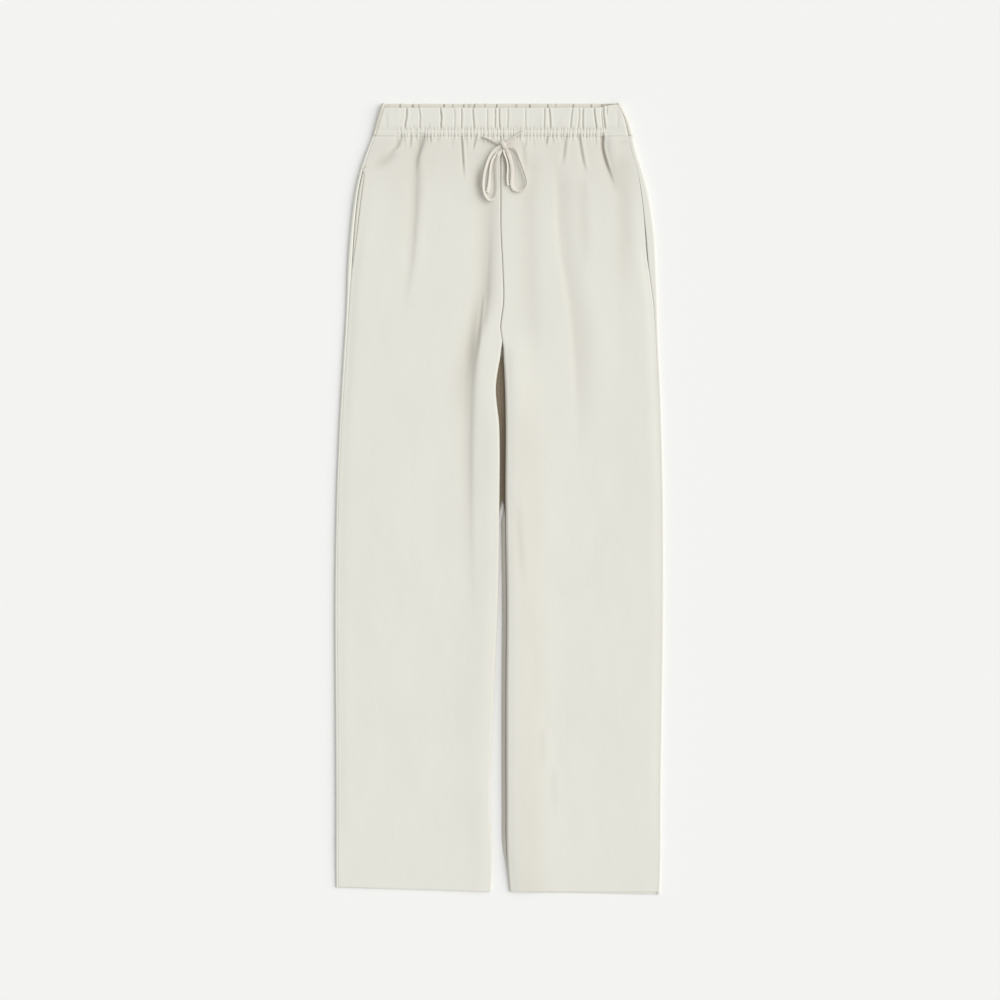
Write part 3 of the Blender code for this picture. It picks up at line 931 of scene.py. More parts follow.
@dataclass
class LegBack(LegPanel):
    """A back: round the inner fold, across the surface, and up round the side to its seam."""

    flat: int = 44
    side_curl: int = 14
    wrap: int = 7
    bulge: float = 0.0

    def leg_rows(self) -> int:
        """Rows between the hem and the hip."""
        return 118

    def waist_rows(self) -> int:
        """Rows between the hip and the waist seam."""
        return 22

    def place(self, column: Array, row: Array) -> Array:
        """The back's points.

        Args:
            column: Columns of the grid, from the inner edge.
            row: Rows of the grid, from the hem's turning.

        Returns:
            Points in millimetres.
        """
        flat_end = self.inner_curl + self.flat
        curl_end = flat_end + self.side_curl
        share = np.clip((column - self.inner_curl) / self.flat, 0.0, 1.0)
        y = self.row_height(row, 1.0 - share)
        sign = self.side.value
        outline = self.outline
        depth = self.depths[row]
        radius = outline.side_height(y) / 2
        inside = radius - depth
        inner = outline.inner_edge(self.side, y)
        inner_radius = outline.inner_radius(self.side, y)
        breadth = outline.inner_width(self.side, y)
        turn = inner + sign * breadth
        curl = outline.curled(y)
        edge = outline.side_edge(self.side, y)
        step = np.clip((self.inner_curl - column) / self.inner_curl, 0.0, 1.0)
        angle = step * (math.pi / 2 - FOLD_GAP / 2 / inner_radius)
        swell = self.swelled(y) * np.sin(2 * angle)
        round_x = turn - sign * ((breadth - depth) * np.sin(angle) + swell)
        round_z = inner_radius - (inner_radius - depth) * np.cos(angle)
        flat_x = turn - sign * breadth * step
        centre = (outline.inner_edge(Side.RIGHT, y) + outline.inner_edge(Side.LEFT, y)) / 2
        # Below the fork the backs reach across under the gap between the legs and meet; this cloth
        # carries painted shade.
        under = self.under_fork(y)
        flat_x = flat_x + (centre + sign * SEAM_GAP / 2 - inner) * step * under * curl
        curl = curl * (1.0 - under)
        lift = 0.6 * under + self.seam_dip(np.abs(flat_x - centre), y) * (1.0 - curl)
        inner_x = flat_x + (round_x - flat_x) * curl
        inner_z = (depth + lift * step) + (round_z - depth - lift * step) * curl
        middle_x = turn + (edge - sign * radius - turn) * share
        hollow = np.maximum(-self.lie.height(middle_x, y), 0.0)
        hollow = hollow * smooth_step(0.0, 0.08, share) * (1.0 - smooth_step(0.92, 1.0, share))
        middle_z = depth + hollow
        turn_angle = np.clip((column - flat_end) / self.side_curl, 0.0, 1.0) * math.pi
        side_x = edge - sign * radius + sign * inside * np.sin(turn_angle)
        side_z = radius - inside * np.cos(turn_angle)
        seam = edge - sign * (outline.seam_inset(self.side, y) - SEAM_GAP)
        wrap = np.clip((column - curl_end) / self.wrap, 0.0, 1.0)
        wrap_x = edge - sign * radius + (seam - (edge - sign * radius)) * wrap
        wrap_z = 2 * radius - depth - self.seam_dip(np.abs(wrap_x - seam), y)
        parts = [column < self.inner_curl, column <= flat_end, column < curl_end]
        x = np.select(parts, [inner_x, middle_x, side_x], wrap_x)
        z = np.select(parts, [inner_z, middle_z, side_z], wrap_z)
        return np.stack([x, y, z], axis=-1)

    def swelled(self, y: Array) -> Array:
        """How far the back's inner fold swells out under the front's, into the gap between the
        legs, where it carries painted shade.
        """
        risen = self.bulge * smooth_step(HEM_Y, HEM_Y + 70.0, y)
        return risen * (1.0 - smooth_step(-20.0, 60.0, y))

    def shade(self, column: Array, row: Array) -> Array:
        """How much painted shade each point gets in the gap between the legs, where the backs meet
        under it and where their inner folds swell out.

        Args:
            column: Columns of the grid, from the inner edge.
            row: Rows of the grid, from the hem's turning.

        Returns:
            The shade at each point, from 0 to 1.
        """
        y = self.heights[row]
        step = np.clip((self.inner_curl - column) / self.inner_curl, 0.0, 1.0)
        under = smooth_step(0.0, 0.3, step) * self.under_fork(y) * self.outline.curled(y)
        # Painted shade on the inner fold of each back, down the lower leg.
        swell = 0.42 * smooth_step(0.15, 0.55, step) * smooth_step(HEM_Y, HEM_Y + 90.0, y)
        return np.maximum(under, swell * (1.0 - self.under_fork(y)))

    def build(self, material: bpy.types.Material) -> bpy.types.Object:
        """Lays the back."""
        columns = self.inner_curl + self.flat + self.side_curl + self.wrap
        return self.finish(columns, self.place, self.side is Side.LEFT, material)


# ---------------------------------------------------------------- waistband


@dataclass
class Waistband:
    """The elastic waistband: a folded casing in front and behind, with the tie's channel."""

    outline: Outline
    ruching: Ruching
    lie: Lie
    cloth: bpy.types.Material
    # The inside of the back of the band: a darker copy of the linen, with painted shade.
    shaded_linen: bpy.types.Material
    front_columns: int = 580
    back_columns: int = 320
    upper_stitch_y: float = 497.4
    lower_stitch_y: float = 489.9
    casing_wall: float = LINING_WALL
    side_curl: int = 14
    wrap: int = 4
    tick_reach: float = 2.9
    tick_width: float = 0.62
    seam_dip: float = 0.9
    seam_reach: float = 1.2
    end_rise: float = 4.6
    # Where painted shade fills the open end between the casings at the wearer's left: start, full,
    # fade and end in X.
    opening: tuple[float, float, float, float] = (132.0, 150.0, 160.0, 164.0)

    def front_rows(self) -> tuple[Array, Array]:
        """Rows of the front's casing."""
        return self.rows(BAND_FRONT_TOP, step=1.25, inner_rows=9)

    def back_rows(self) -> tuple[Array, Array]:
        """Rows of the back's casing."""
        return self.rows(BAND_BACK_TOP, step=3.0, inner_rows=16)

    def rows(self, top: float, step: float, inner_rows: int) -> tuple[Array, Array]:
        """Rows of a casing: up the outer face, over the fold, and down inside.

        Args:
            top: Height of the fold.
            step: Spacing of the rows of the outer face.
            inner_rows: Rows of the inner face.

        Returns:
            Height and depth under the outer face of every row.
        """
        radius = BAND_WALL / 2
        foot = WAIST_SEAM_Y + 0.02
        count = round((top - radius - foot) / step)
        outer = np.linspace(foot, top - radius, count + 1)
        angles = np.linspace(0.0, math.pi, 7)[1:]
        inner = np.linspace(top - radius, foot + 3.0, inner_rows + 1)[1:]
        y = np.concatenate([outer, top - radius + radius * np.sin(angles), inner])
        depth = np.concatenate([np.zeros(len(outer)), radius - radius * np.cos(angles),
                                np.full(len(inner), 2 * radius)])
        return y, depth

    def crease(self, creases: tuple[Crease, ...], x: Array, y: Array) -> Array:
        """Height that the creases add: a sharp trough with a lip on its +X side.

        Args:
            creases: The band's creases.
            x: Places across.
            y: Places along.

        Returns:
            The added height at each place.
        """
        added = np.zeros_like(x)
        for item in creases:
            share = (y - WAIST_SEAM_Y) / (BAND_FRONT_TOP - WAIST_SEAM_Y)
            d = x - (item.foot_x + (item.top_x - item.foot_x) * share)
            d = d - 0.9 * billow(y, y * 0.0 + item.top_x, 13.0, 7.0, 61)
            wide = np.where(d < 0, item.width * 0.75, item.width * 0.45)
            trough = np.exp(-np.abs(d / wide) ** 1.5)
            lip = bell(d - item.width * 1.5, item.width * 1.1)
            ends = between(item.foot_y - 2.0, item.foot_y + 2.0, item.top_y - 6.0, item.top_y, y)
            added += 1.5 * item.depth * ends * (0.2 * lip - trough)
        return np.maximum(added, -3.0)

    def puckers(self, x: Array, y: Array) -> Array:
        """The ticks that the elastic draws along both rows of stitches.

        Args:
            x: Places across.
            y: Places along.

        Returns:
            Their depth at each place, from 0 to about 1.
        """
        high = bell(y - self.upper_stitch_y, self.tick_reach)
        low = bell(y - self.lower_stitch_y, self.tick_reach)
        upper = self.ruching.depth(x, self.tick_width)
        shifted = x + 1.1 * billow(x, x * 0.0, 15.0, 9.0, 37)
        lower = self.ruching.depth(shifted, self.tick_width)
        return np.minimum(upper * high + lower * low, 1.2)

    def front_shade(self, column: Array, row: Array) -> Array:
        """How much painted shade the front gets in its creases and ticks, with a faint even
        darkening over the band and more along the upper row of stitches.

        Args:
            column: Columns of the grid, from the right side seam.
            row: Rows of the grid, from the waist seam.

        Returns:
            The shade at each point, from 0 to 1.
        """
        points = self.place_front(column, row)
        x, y = points[..., 0], points[..., 1]
        first, last = self.ruching.first_x, self.ruching.last_x
        inside = between(first - 3.0, first + 2.0, last, last + 4.0, x)
        depth = np.maximum(-self.crease(BAND_CREASES, x, y), 0.0)
        # A faint even darkening of the whole band, and painted shade along the upper row of ticks.
        foot = 0.03 + 0.045 * bell(y - self.upper_stitch_y - 1.5, 4.0)
        return np.clip(foot + 0.09 * depth + 0.20 * self.puckers(x, y) * inside, 0.0, 0.8)

    def back_shade(self, column: Array, row: Array) -> Array:
        """How much painted shade the inside of the back gets: a little all over, more in its
        pleats and most in its open end at the wearer's left.

        Args:
            column: Columns of the grid, from the left side seam.
            row: Rows of the grid, from the waist seam.

        Returns:
            The shade at each point, from 0 to 1.
        """
        depth = self.back_rows()[1][row]
        x = self.place_back(column, row)[..., 0]
        inner = smooth_step(0.3 * BAND_WALL, 0.9 * BAND_WALL, depth)
        pleats = np.maximum(-self.crease(BACK_BAND_CREASES, x, np.full_like(x, 510.0)), 0.0)
        # Painted shade in the open end between the casings.
        opening = between(*self.opening, x)
        return np.clip(inner * (0.03 + 0.5 * pleats + 0.5 * opening), 0.0, 1.0)

    def front_relief(self, x: Array, y: Array) -> Array:
        """Height of the band's front over its form, with the legs' pleats running up to it."""
        fading = 1.0 - smooth_step(0.0, 6.0, y - WAIST_SEAM_Y)
        return self.gathered(x, y) + fading * self.lie.height(x, np.full_like(x, WAIST_SEAM_Y))

    def gathered(self, x: Array, y: Array) -> Array:
        """Height that gathering and stitching add to the band's front.

        Args:
            x: Places across.
            y: Places along.

        Returns:
            The added height at each place.
        """
        first, last = self.ruching.first_x, self.ruching.last_x
        high, low = self.upper_stitch_y, self.lower_stitch_y
        ruched = between(first - 4.0, first + 2.0, last - 2.0, last + 4.0, x)
        channel = between(low, low + 1.0, high - 1.0, high, y)
        middle, half = (high + low) / 2, (high - low) / 2
        pillow = np.clip(1.0 - ((y - middle) / half) ** 2, 0.0, 1.0) * channel
        pinch = bell(y - high, 0.9) + bell(y - low, 0.9)
        puckers = self.puckers(x, y) * ruched
        elastic = smooth_step(high, high + 4.0, y)
        loose = 0.22 * billow(x, y, 9.0, 26.0, 31) * ruched * elastic
        relief = self.crease(BAND_CREASES, x, y) + loose
        relief = relief + 0.45 * pillow * (0.35 + 0.65 * ruched)
        relief = relief - (0.14 + 0.16 * ruched) * pinch
        return relief - 1.15 * puckers

    def front_face(self, x: Array, y: Array) -> Array:
        """Height of the band's outer face in front."""
        return self.outline.loft(y) + self.front_relief(x, y)

    def front_top(self, x: Array) -> Array:
        """How far the front's top edge stands above its usual height.

        Args:
            x: Places across.

        Returns:
            The rise at each place, greatest at the left end.
        """
        rise = self.end_rise * smooth_step(128.0, 160.0, x)
        notch = self.crease(BAND_CREASES, x, np.full_like(x, BAND_FRONT_TOP - 5.0))
        return rise + 0.35 * notch + 0.25 * billow(x, x * 0.0, 14.0, 10.0, 41)

    def place_front(self, column: Array, row: Array) -> Array:
        """The front's points.

        Args:
            column: Columns of the grid, from the right side seam.
            row: Rows of the grid, from the waist seam.

        Returns:
            Points in millimetres.
        """
        heights, depths = self.front_rows()
        y = heights[row]
        depth = depths[row]
        outline = self.outline
        left = outline.side_edge(Side.LEFT, y) - outline.seam_inset(Side.LEFT, y)
        right = outline.side_edge(Side.RIGHT, y) + outline.seam_inset(Side.RIGHT, y)
        share = column / self.front_columns
        eased = share + 0.0012 * np.sin(2 * math.pi * share)
        x = right + (left - right) * eased
        near_top = smooth_step(WAIST_SEAM_Y + 8.0, BAND_FRONT_TOP, y)
        relief = self.front_relief(x, y) * np.where(depth > BAND_WALL * 0.75, 0.6, 1.0)
        edge = np.minimum(np.abs(x - left), np.abs(x - right))
        dip = self.seam_dip * bell(edge, self.seam_reach)
        z = outline.loft(y) + relief - dip - depth
        return np.stack([x, y + self.front_top(x) * near_top, z], axis=-1)

    def back_shape(self, column: Array, y: Array, depth: Array) -> tuple[Array, Array]:
        """X and Z of the back of the band, which wraps up round both sides.

        Args:
            column: Columns of the grid, from the left side seam.
            y: Heights of the points.
            depth: Depth under the outer face.

        Returns:
            X and Z of each point.
        """
        outline = self.outline
        radius = outline.loft(y) / 2
        inside = radius - depth
        first = self.wrap + self.side_curl
        last = first + self.back_columns
        share = np.clip((column - first) / self.back_columns, 0.0, 1.0)
        low = outline.side_edge(Side.LEFT, y) - radius
        high = outline.side_edge(Side.RIGHT, y) + radius
        x = low + (high - low) * share
        bumps = self.crease(BACK_BAND_CREASES, x, np.minimum(y, BAND_FRONT_TOP - 1.0))
        bumps = bumps + 0.5 * billow(x, y, 11.0, 40.0, 51)
        flat = between(0.0, 0.03, 0.97, 1.0, share)
        inner_face = smooth_step(0.2 * BAND_WALL, 0.8 * BAND_WALL, depth)
        z = depth + (0.5 + bumps * 0.8) * flat * inner_face + 0.3 * np.maximum(bumps, 0.0) * flat
        for side in Side:
            beyond = first - column if side is Side.LEFT else column - last
            sign = side.value
            edge = outline.side_edge(side, y)
            angle = np.clip(beyond / self.side_curl, 0.0, 1.0) * math.pi
            seam = edge - sign * (outline.seam_inset(side, y) - SEAM_GAP)
            along = np.clip((beyond - self.side_curl) / self.wrap, 0.0, 1.0)
            wrap_x = edge - sign * radius + (seam - (edge - sign * radius)) * along
            dip = self.seam_dip * bell(np.abs(wrap_x - seam), self.seam_reach)
            x = np.where(beyond > 0, edge - sign * radius + sign * inside * np.sin(angle), x)
            z = np.where(beyond > 0, radius - inside * np.cos(angle), z)
            x = np.where(beyond > self.side_curl, wrap_x, x)
            z = np.where(beyond > self.side_curl, 2 * radius - depth - dip, z)
        return x, z

    def place_back(self, column: Array, row: Array) -> Array:
        """The back's points.

        Args:
            column: Columns of the grid, from the left side seam.
            row: Rows of the grid, from the waist seam.

        Returns:
            Points in millimetres.
        """
        heights, depths = self.back_rows()
        y = heights[row]
        x, z = self.back_shape(column, y, depths[row])
        near_top = smooth_step(WAIST_SEAM_Y + 8.0, BAND_BACK_TOP, y)
        notch = self.crease(BACK_BAND_CREASES, x, np.full_like(x, BAND_FRONT_TOP - 5.0))
        lift = 0.45 * notch + 0.3 * billow(x, x * 0.0, 16.0, 10.0, 43)
        return np.stack([x, y + lift * near_top, z], axis=-1)

    def build(self) -> list[bpy.types.Object]:
        """Lays the two casings, dresses them and hides the solids they stand for.

        Returns:
            The front and the back.
        """
        rows = len(self.front_rows()[0]) - 1
        front = lay_cloth("waistband_front_cloth", self.front_columns, rows, self.place_front,
                          self.casing_wall, False, self.front_shade)
        hang(front, self.cloth, ("waistband_front",))
        rows = len(self.back_rows()[0]) - 1
        columns = self.back_columns + 2 * (self.side_curl + self.wrap)
        back = lay_cloth("waistband_back_cloth", columns, rows, self.place_back,
                         self.casing_wall, False, self.back_shade)
        hang(back, self.shaded_linen, ("waistband_back",))
        return [front, back]


# ---------------------------------------------------------------- pockets and stitching


@dataclass
class PocketFacing:
    """The strip of pocket cloth that shows between the pocket's edge and the side seam."""

    side: Side
    front: LegFront
    outline: Outline
    columns: int = 14
    rows: int = 70
    tuck: float = 5.0
    sunk: float = 1.5
    beyond: float = 4.0
    flat_width: float = 0.012
    area: float = 0.0014

    def place(self, column: Array, row: Array) -> Array:
        """The facing's points.

        Args:
            column: Columns of the grid, from the side seam.
            row: Rows of the grid, from the foot of the pocket.

        Returns:
            Points in millimetres.
        """
        height = POCKET_TOP - POCKET_FOOT + 2.0 * self.beyond
        y = POCKET_FOOT - self.beyond + height * row / self.rows
        sign = self.side.value
        outline = self.outline
        inset = outline.seam_inset(self.side, y) + SEAM_GAP
        seam = outline.side_edge(self.side, y) - sign * inset
        gape = self.front.pocket_gape(y)
        reach = gape + self.tuck
        share = column / self.columns
        x = seam - sign * reach * share
        shown = np.clip(share * reach / np.maximum(gape, 0.5), 0.0, 1.0)
        crown = 0.9 * np.sin(math.pi * shown) * smooth_step(0.0, 3.0, gape)
        z = outline.side_height(y) - self.sunk + crown * (shown < 1.0)
        z = z - 0.5 * smooth_step(0.9, 1.0, share)
        return np.stack([x, y, z], axis=-1)

    def build(self, material: bpy.types.Material) -> bpy.types.Object:
        """Lays the facing, dresses it and hides the solid it stands for.

        Args:
            material: The cloth.

        Returns:
            The facing.
        """
        node = "pocket_facing_" + self.side.name.lower()
        piece = lay_cloth(node + "_cloth", self.columns, self.rows, self.place, LINING_WALL,
                          self.side is Side.LEFT)
        hang(piece, material, (node,))
        return piece


@dataclass
class Stitching:
    """Rows of sewn stitches, each stitch a small rounded grain of thread."""

    band: Waistband
    length: float = 2.5
    pitch: float = 3.3
    thickness: float = 0.42
    flatness: float = 0.8
    tack_pitch: float = 0.55
    tack_width: float = 1.7
    grains: list[tuple[Vector, float, float]] = field(default_factory=list)

    def row(self, start: float, end: float, y: float, slope: float) -> None:
        """Sews a row across the waistband.

        Args:
            start: X of the first stitch.
            end: X of the last one.
            y: Height of the row.
            slope: Rise of the row for each millimetre.
        """
        count = round((end - start) / self.pitch)
        for x in np.linspace(start, end, count + 1):
            at_y = y + slope * (x - start)
            z = float(self.band.front_face(np.array([x]), np.array([at_y]))[0])
            self.grains.append((Vector((x, at_y, z + 0.05)), math.atan(slope), self.length))

    def tack(self, x: float, y: float, z: float, angle: float, length: float) -> None:
        """Sews a bar tack: a short bar of close stitches across its line.

        Args:
            x: X of its middle.
            y: Y of its middle.
            z: Height of the cloth there.
            angle: Direction of the bar.
            length: Length of the bar.
        """
        count = round(length / self.tack_pitch)
        for k in range(count + 1):
            along = (k / count - 0.5) * length
            spot = Vector((x + along * math.cos(angle), y + along * math.sin(angle), z + 0.1))
            self.grains.append((spot, angle + math.pi / 2, self.tack_width))

    def build(self, material: bpy.types.Material) -> bpy.types.Object:
        """Joins the stitches into one piece.

        Args:
            material: The thread.

        Returns:
            The stitching.
        """
        joined = bmesh.new()
        for spot, angle, length in self.grains:
            made = bmesh.ops.create_uvsphere(joined, u_segments=6, v_segments=4,
                                             radius=0.5)["verts"]
            bmesh.ops.rotate(joined, verts=made, cent=(0, 0, 0), matrix=_turn(math.pi / 2, "Y"))
            size = (length, self.thickness, self.thickness * self.flatness)
            bmesh.ops.scale(joined, verts=made, vec=size)
            bmesh.ops.rotate(joined, verts=made, cent=(0, 0, 0), matrix=_turn(angle, "Z"))
            bmesh.ops.translate(joined, verts=made, vec=spot)
        bmesh.ops.scale(joined, verts=joined.verts[:], vec=(MM, MM, MM))
        mesh = bpy.data.meshes.new("stitching")
        joined.to_mesh(mesh)
        joined.free()
        mesh.shade_smooth()
        return hang(add_object("stitching", mesh), material, ())


def _turn(angle: float, axis: str) -> Matrix:
    """A rotation about an axis."""
    return Matrix.Rotation(angle, 3, axis)


# ---------------------------------------------------------------- drawstring


@dataclass(frozen=True)
class Run:
    """One stretch of the drawstring: its route and how far the tape leans over at each point."""

    node: str
    route: tuple[tuple[float, float, float], ...]
    leans: tuple[float, ...]
    far_end: str
    width: float = 5.0
    thickness: float = 1.0


RIGHT_STRING = Run(
    "drawstring_right",
    ((-23.5, 487.0, 8.6), (-14.5, 483.2, 8.4), (-6.0, 478.6, 8.2), (2.0, 475.4, 8.2),
     (9.5, 474.6, 8.3), (17.0, 472.0, 8.6), (22.0, 466.0, 9.2), (26.0, 457.0, 9.8),
     (30.5, 445.5, 10.4), (34.6, 434.0, 10.4), (36.2, 425.0, 10.0), (33.4, 418.4, 9.4),
     (26.6, 414.8, 8.8), (19.6, 416.6, 8.4), (16.8, 423.5, 8.4), (17.4, 434.0, 8.6),
     (17.2, 445.0, 8.8), (15.2, 455.0, 9.0), (12.6, 463.0, 9.0)),
    (76, 72, 55, 25, 10, 25, 50, 68, 76, 76, 72, 55, 35, 20, 15, 12, 5, 5, 10), "object")
LEFT_STRING = Run(
    "drawstring_left",
    ((31.5, 494.8, 9.6), (25.0, 490.6, 10.0), (18.0, 484.8, 11.2), (11.0, 479.2, 12.0),
     (3.6, 474.6, 12.0), (-3.6, 470.4, 11.6), (-9.4, 464.6, 10.8), (-14.4, 455.6, 10.2),
     (-18.0, 444.4, 10.2), (-20.6, 431.8, 10.4), (-21.2, 419.0, 10.4),
     (-19.0, 408.6, 10.0), (-13.4, 402.4, 9.4), (-7.4, 404.6, 8.8), (-4.8, 413.0, 8.6),
     (-4.4, 426.0, 8.6), (-4.8, 439.0, 8.8), (-4.2, 451.0, 9.0), (-1.6, 461.4, 9.0)),
    (52, 52, 46, 25, 5, -15, -35, -45, -50, -52, -54, -55, -40, -30, -30, -32, -30, -25, -20),
    "object")
RIGHT_END = Run(
    "drawstring_end_right",
    ((-5.4, 461.6, 8.4), (-9.2, 455.0, 8.3), (-11.6, 446.0, 8.2), (-12.6, 436.0, 8.1),
     (-13.4, 426.0, 8.0), (-14.6, 417.5, 8.0), (-16.0, 411.8, 8.0)),
    (-45, -55, -60, -60, -50, -35, -15), "bare")
LEFT_END = Run(
    "drawstring_end_left",
    ((6.6, 465.8, 8.4), (9.2, 459.0, 8.3), (11.2, 451.0, 8.2), (11.6, 442.0, 8.1),
     (11.0, 433.5, 8.0), (11.4, 426.5, 8.0), (12.6, 421.6, 8.0)),
    (-50, -60, -62, -62, -60, -52, -40), "bare")
KNOT = Run(
    "drawstring_knot",
    ((8.0, 470.6, 8.8), (7.9, 471.0, 12.2), (7.0, 473.2, 15.0), (5.5, 475.8, 15.7),
     (4.1, 478.4, 15.0), (3.1, 480.6, 12.2), (3.0, 481.0, 8.8)),
    (0, 0, 0, 0, 0, 0, 0), "object", 5.4, 1.1)

# Short lengths of tape inside the knot, which meet the loops and the ends
TUCKS = (
    Run("tuck_left_loop", ((4.6, 474.6, 9.2), (2.0, 468.8, 9.2), (-1.7, 461.1, 9.0)),
        (0, -10, -20), "object"),
    Run("tuck_right_loop", ((6.4, 474.2, 9.2), (9.8, 469.4, 9.2), (12.7, 462.7, 9.0)),
        (0, 8, 10), "object"),
    Run("tuck_right_end", ((3.4, 473.6, 8.6), (-1.2, 468.4, 8.6), (-5.5, 461.3, 8.4)),
        (-15, -30, -45), "object", 4.4),
    Run("tuck_left_end", ((5.6, 473.4, 8.6), (6.0, 470.0, 8.6), (6.7, 465.5, 8.4)),
        (-20, -35, -50), "object", 4.4),
)


@dataclass
class Drawstring:
    """The drawstring: a flat tape tied in a bow, with two loops and two free ends."""

    material: bpy.types.Material
    runs: tuple[Run, ...] = (RIGHT_STRING, LEFT_STRING, RIGHT_END, LEFT_END, KNOT)
    columns: int = 8
    spacing: float = 1.1
    cup: float = 0.55
    rounding: float = 0.45

    def line(self, run: Run) -> tuple[Array, Array]:
        """Close points on the smooth curve through a run's route, and the lean at each.

        Args:
            run: The stretch of tape.

        Returns:
            Points in millimetres and leans in radians.
        """
        route = np.array(run.route)
        knots = np.concatenate([[0.0], np.cumsum(np.linalg.norm(np.diff(route, axis=0), axis=1))])
        count = max(8, round(knots[-1] / self.spacing))
        at = np.linspace(0.0, knots[-1], count + 1)
        points = np.stack([through(knots, route[:, k], at) for k in range(3)], axis=1)
        return points, np.radians(through(knots, np.array(run.leans, float), at))

    def place(self, run: Run) -> Place:
        """Gives the tape's points for one run.

        Args:
            run: The stretch of tape.

        Returns:
            A function of columns and rows.
        """
        points, leans = self.line(run)
        tangent = np.gradient(points, axis=0)
        tangent /= np.linalg.norm(tangent, axis=1)[:, None]
        level = np.cross(np.array([0.0, 0.0, 1.0]), tangent)
        size = np.linalg.norm(level, axis=1)[:, None]
        level = np.where(size > 1e-6, level / np.maximum(size, 1e-6), np.array([1.0, 0.0, 0.0]))
        upright = np.cross(tangent, level)
        across = np.cos(leans)[:, None] * level + np.sin(leans)[:, None] * upright
        normal = np.cross(tangent, across)

        def points_of(column: Array, row: Array) -> Array:
            """Points of the tape.

            Args:
                column: Columns across it.
                row: Rows along it.

            Returns:
                Points in millimetres.
            """
            side = column / self.columns * 2.0 - 1.0
            cup = self.cup * (np.abs(side) ** 1.5 - 0.5)
            half = run.width / 2
            return (points[row] + across[row] * (side * half)[..., None]
                    - normal[row] * cup[..., None])

        return points_of

    def lay(self, run: Run) -> bpy.types.Object:
        """Lays the tape of one run."""
        rows = len(self.line(run)[0]) - 1
        return lay_cloth(run.node + "_tape", self.columns, rows, self.place(run), 0.0, False)

    def tuck_in(self, knot: bpy.types.Object) -> None:
        """Adds the short lengths of tape inside the knot to it.

        Args:
            knot: The knot.
        """
        joined = bmesh.new()
        joined.from_mesh(knot.data)
        for run in TUCKS:
            short = self.lay(run)
            joined.from_mesh(short.data)
            bpy.data.objects.remove(short)
        joined.to_mesh(knot.data)
        joined.free()
        knot.data.shade_smooth()

    def build(self) -> list[bpy.types.Object]:
        """Returns:
            The two loops, the two ends and the knot.
        """
        pieces = []
        for run in self.runs:
            points, _ = self.line(run)
            piece = self.lay(run)
            pieces.append(piece)
            if run is KNOT:
                self.tuck_in(piece)
            thicken = piece.modifiers.new("tape", "SOLIDIFY")
            thicken.thickness = run.thickness * MM
            thicken.offset = 0.0
            thicken.use_even_offset = True
            ease = piece.modifiers.new("rounded_edge", "BEVEL")
            ease.width = self.rounding * MM
            ease.segments = 2
            ease.limit_method = "ANGLE"
            ease.angle_limit = math.radians(50)
            hang(piece, self.material, (run.node,))
        return pieces


# ---------------------------------------------------------------- finishes


def node_group(name: str, inputs: dict[str, tuple[str, float | None]],
               outputs: tuple[str, ...]) -> bpy.types.NodeTree:
    """Starts a shader node group with named sockets.

    Args:
        name: The group's name.
        inputs: Socket names with their type and value.
        outputs: Names of the float outputs.

    Returns:
        The group, with its input and output nodes.
    """
    group = bpy.data.node_groups.new(name, "ShaderNodeTree")
    for label, (kind, value) in inputs.items():
        socket = group.interface.new_socket(label, in_out="INPUT", socket_type=kind)
        if value is not None:
            socket.default_value = value
    for label in outputs:
        group.interface.new_socket(label, in_out="OUTPUT", socket_type="NodeSocketFloat")
    group.nodes.new("NodeGroupInput").name = "in"
    group.nodes.new("NodeGroupOutput").name = "out"
    return group


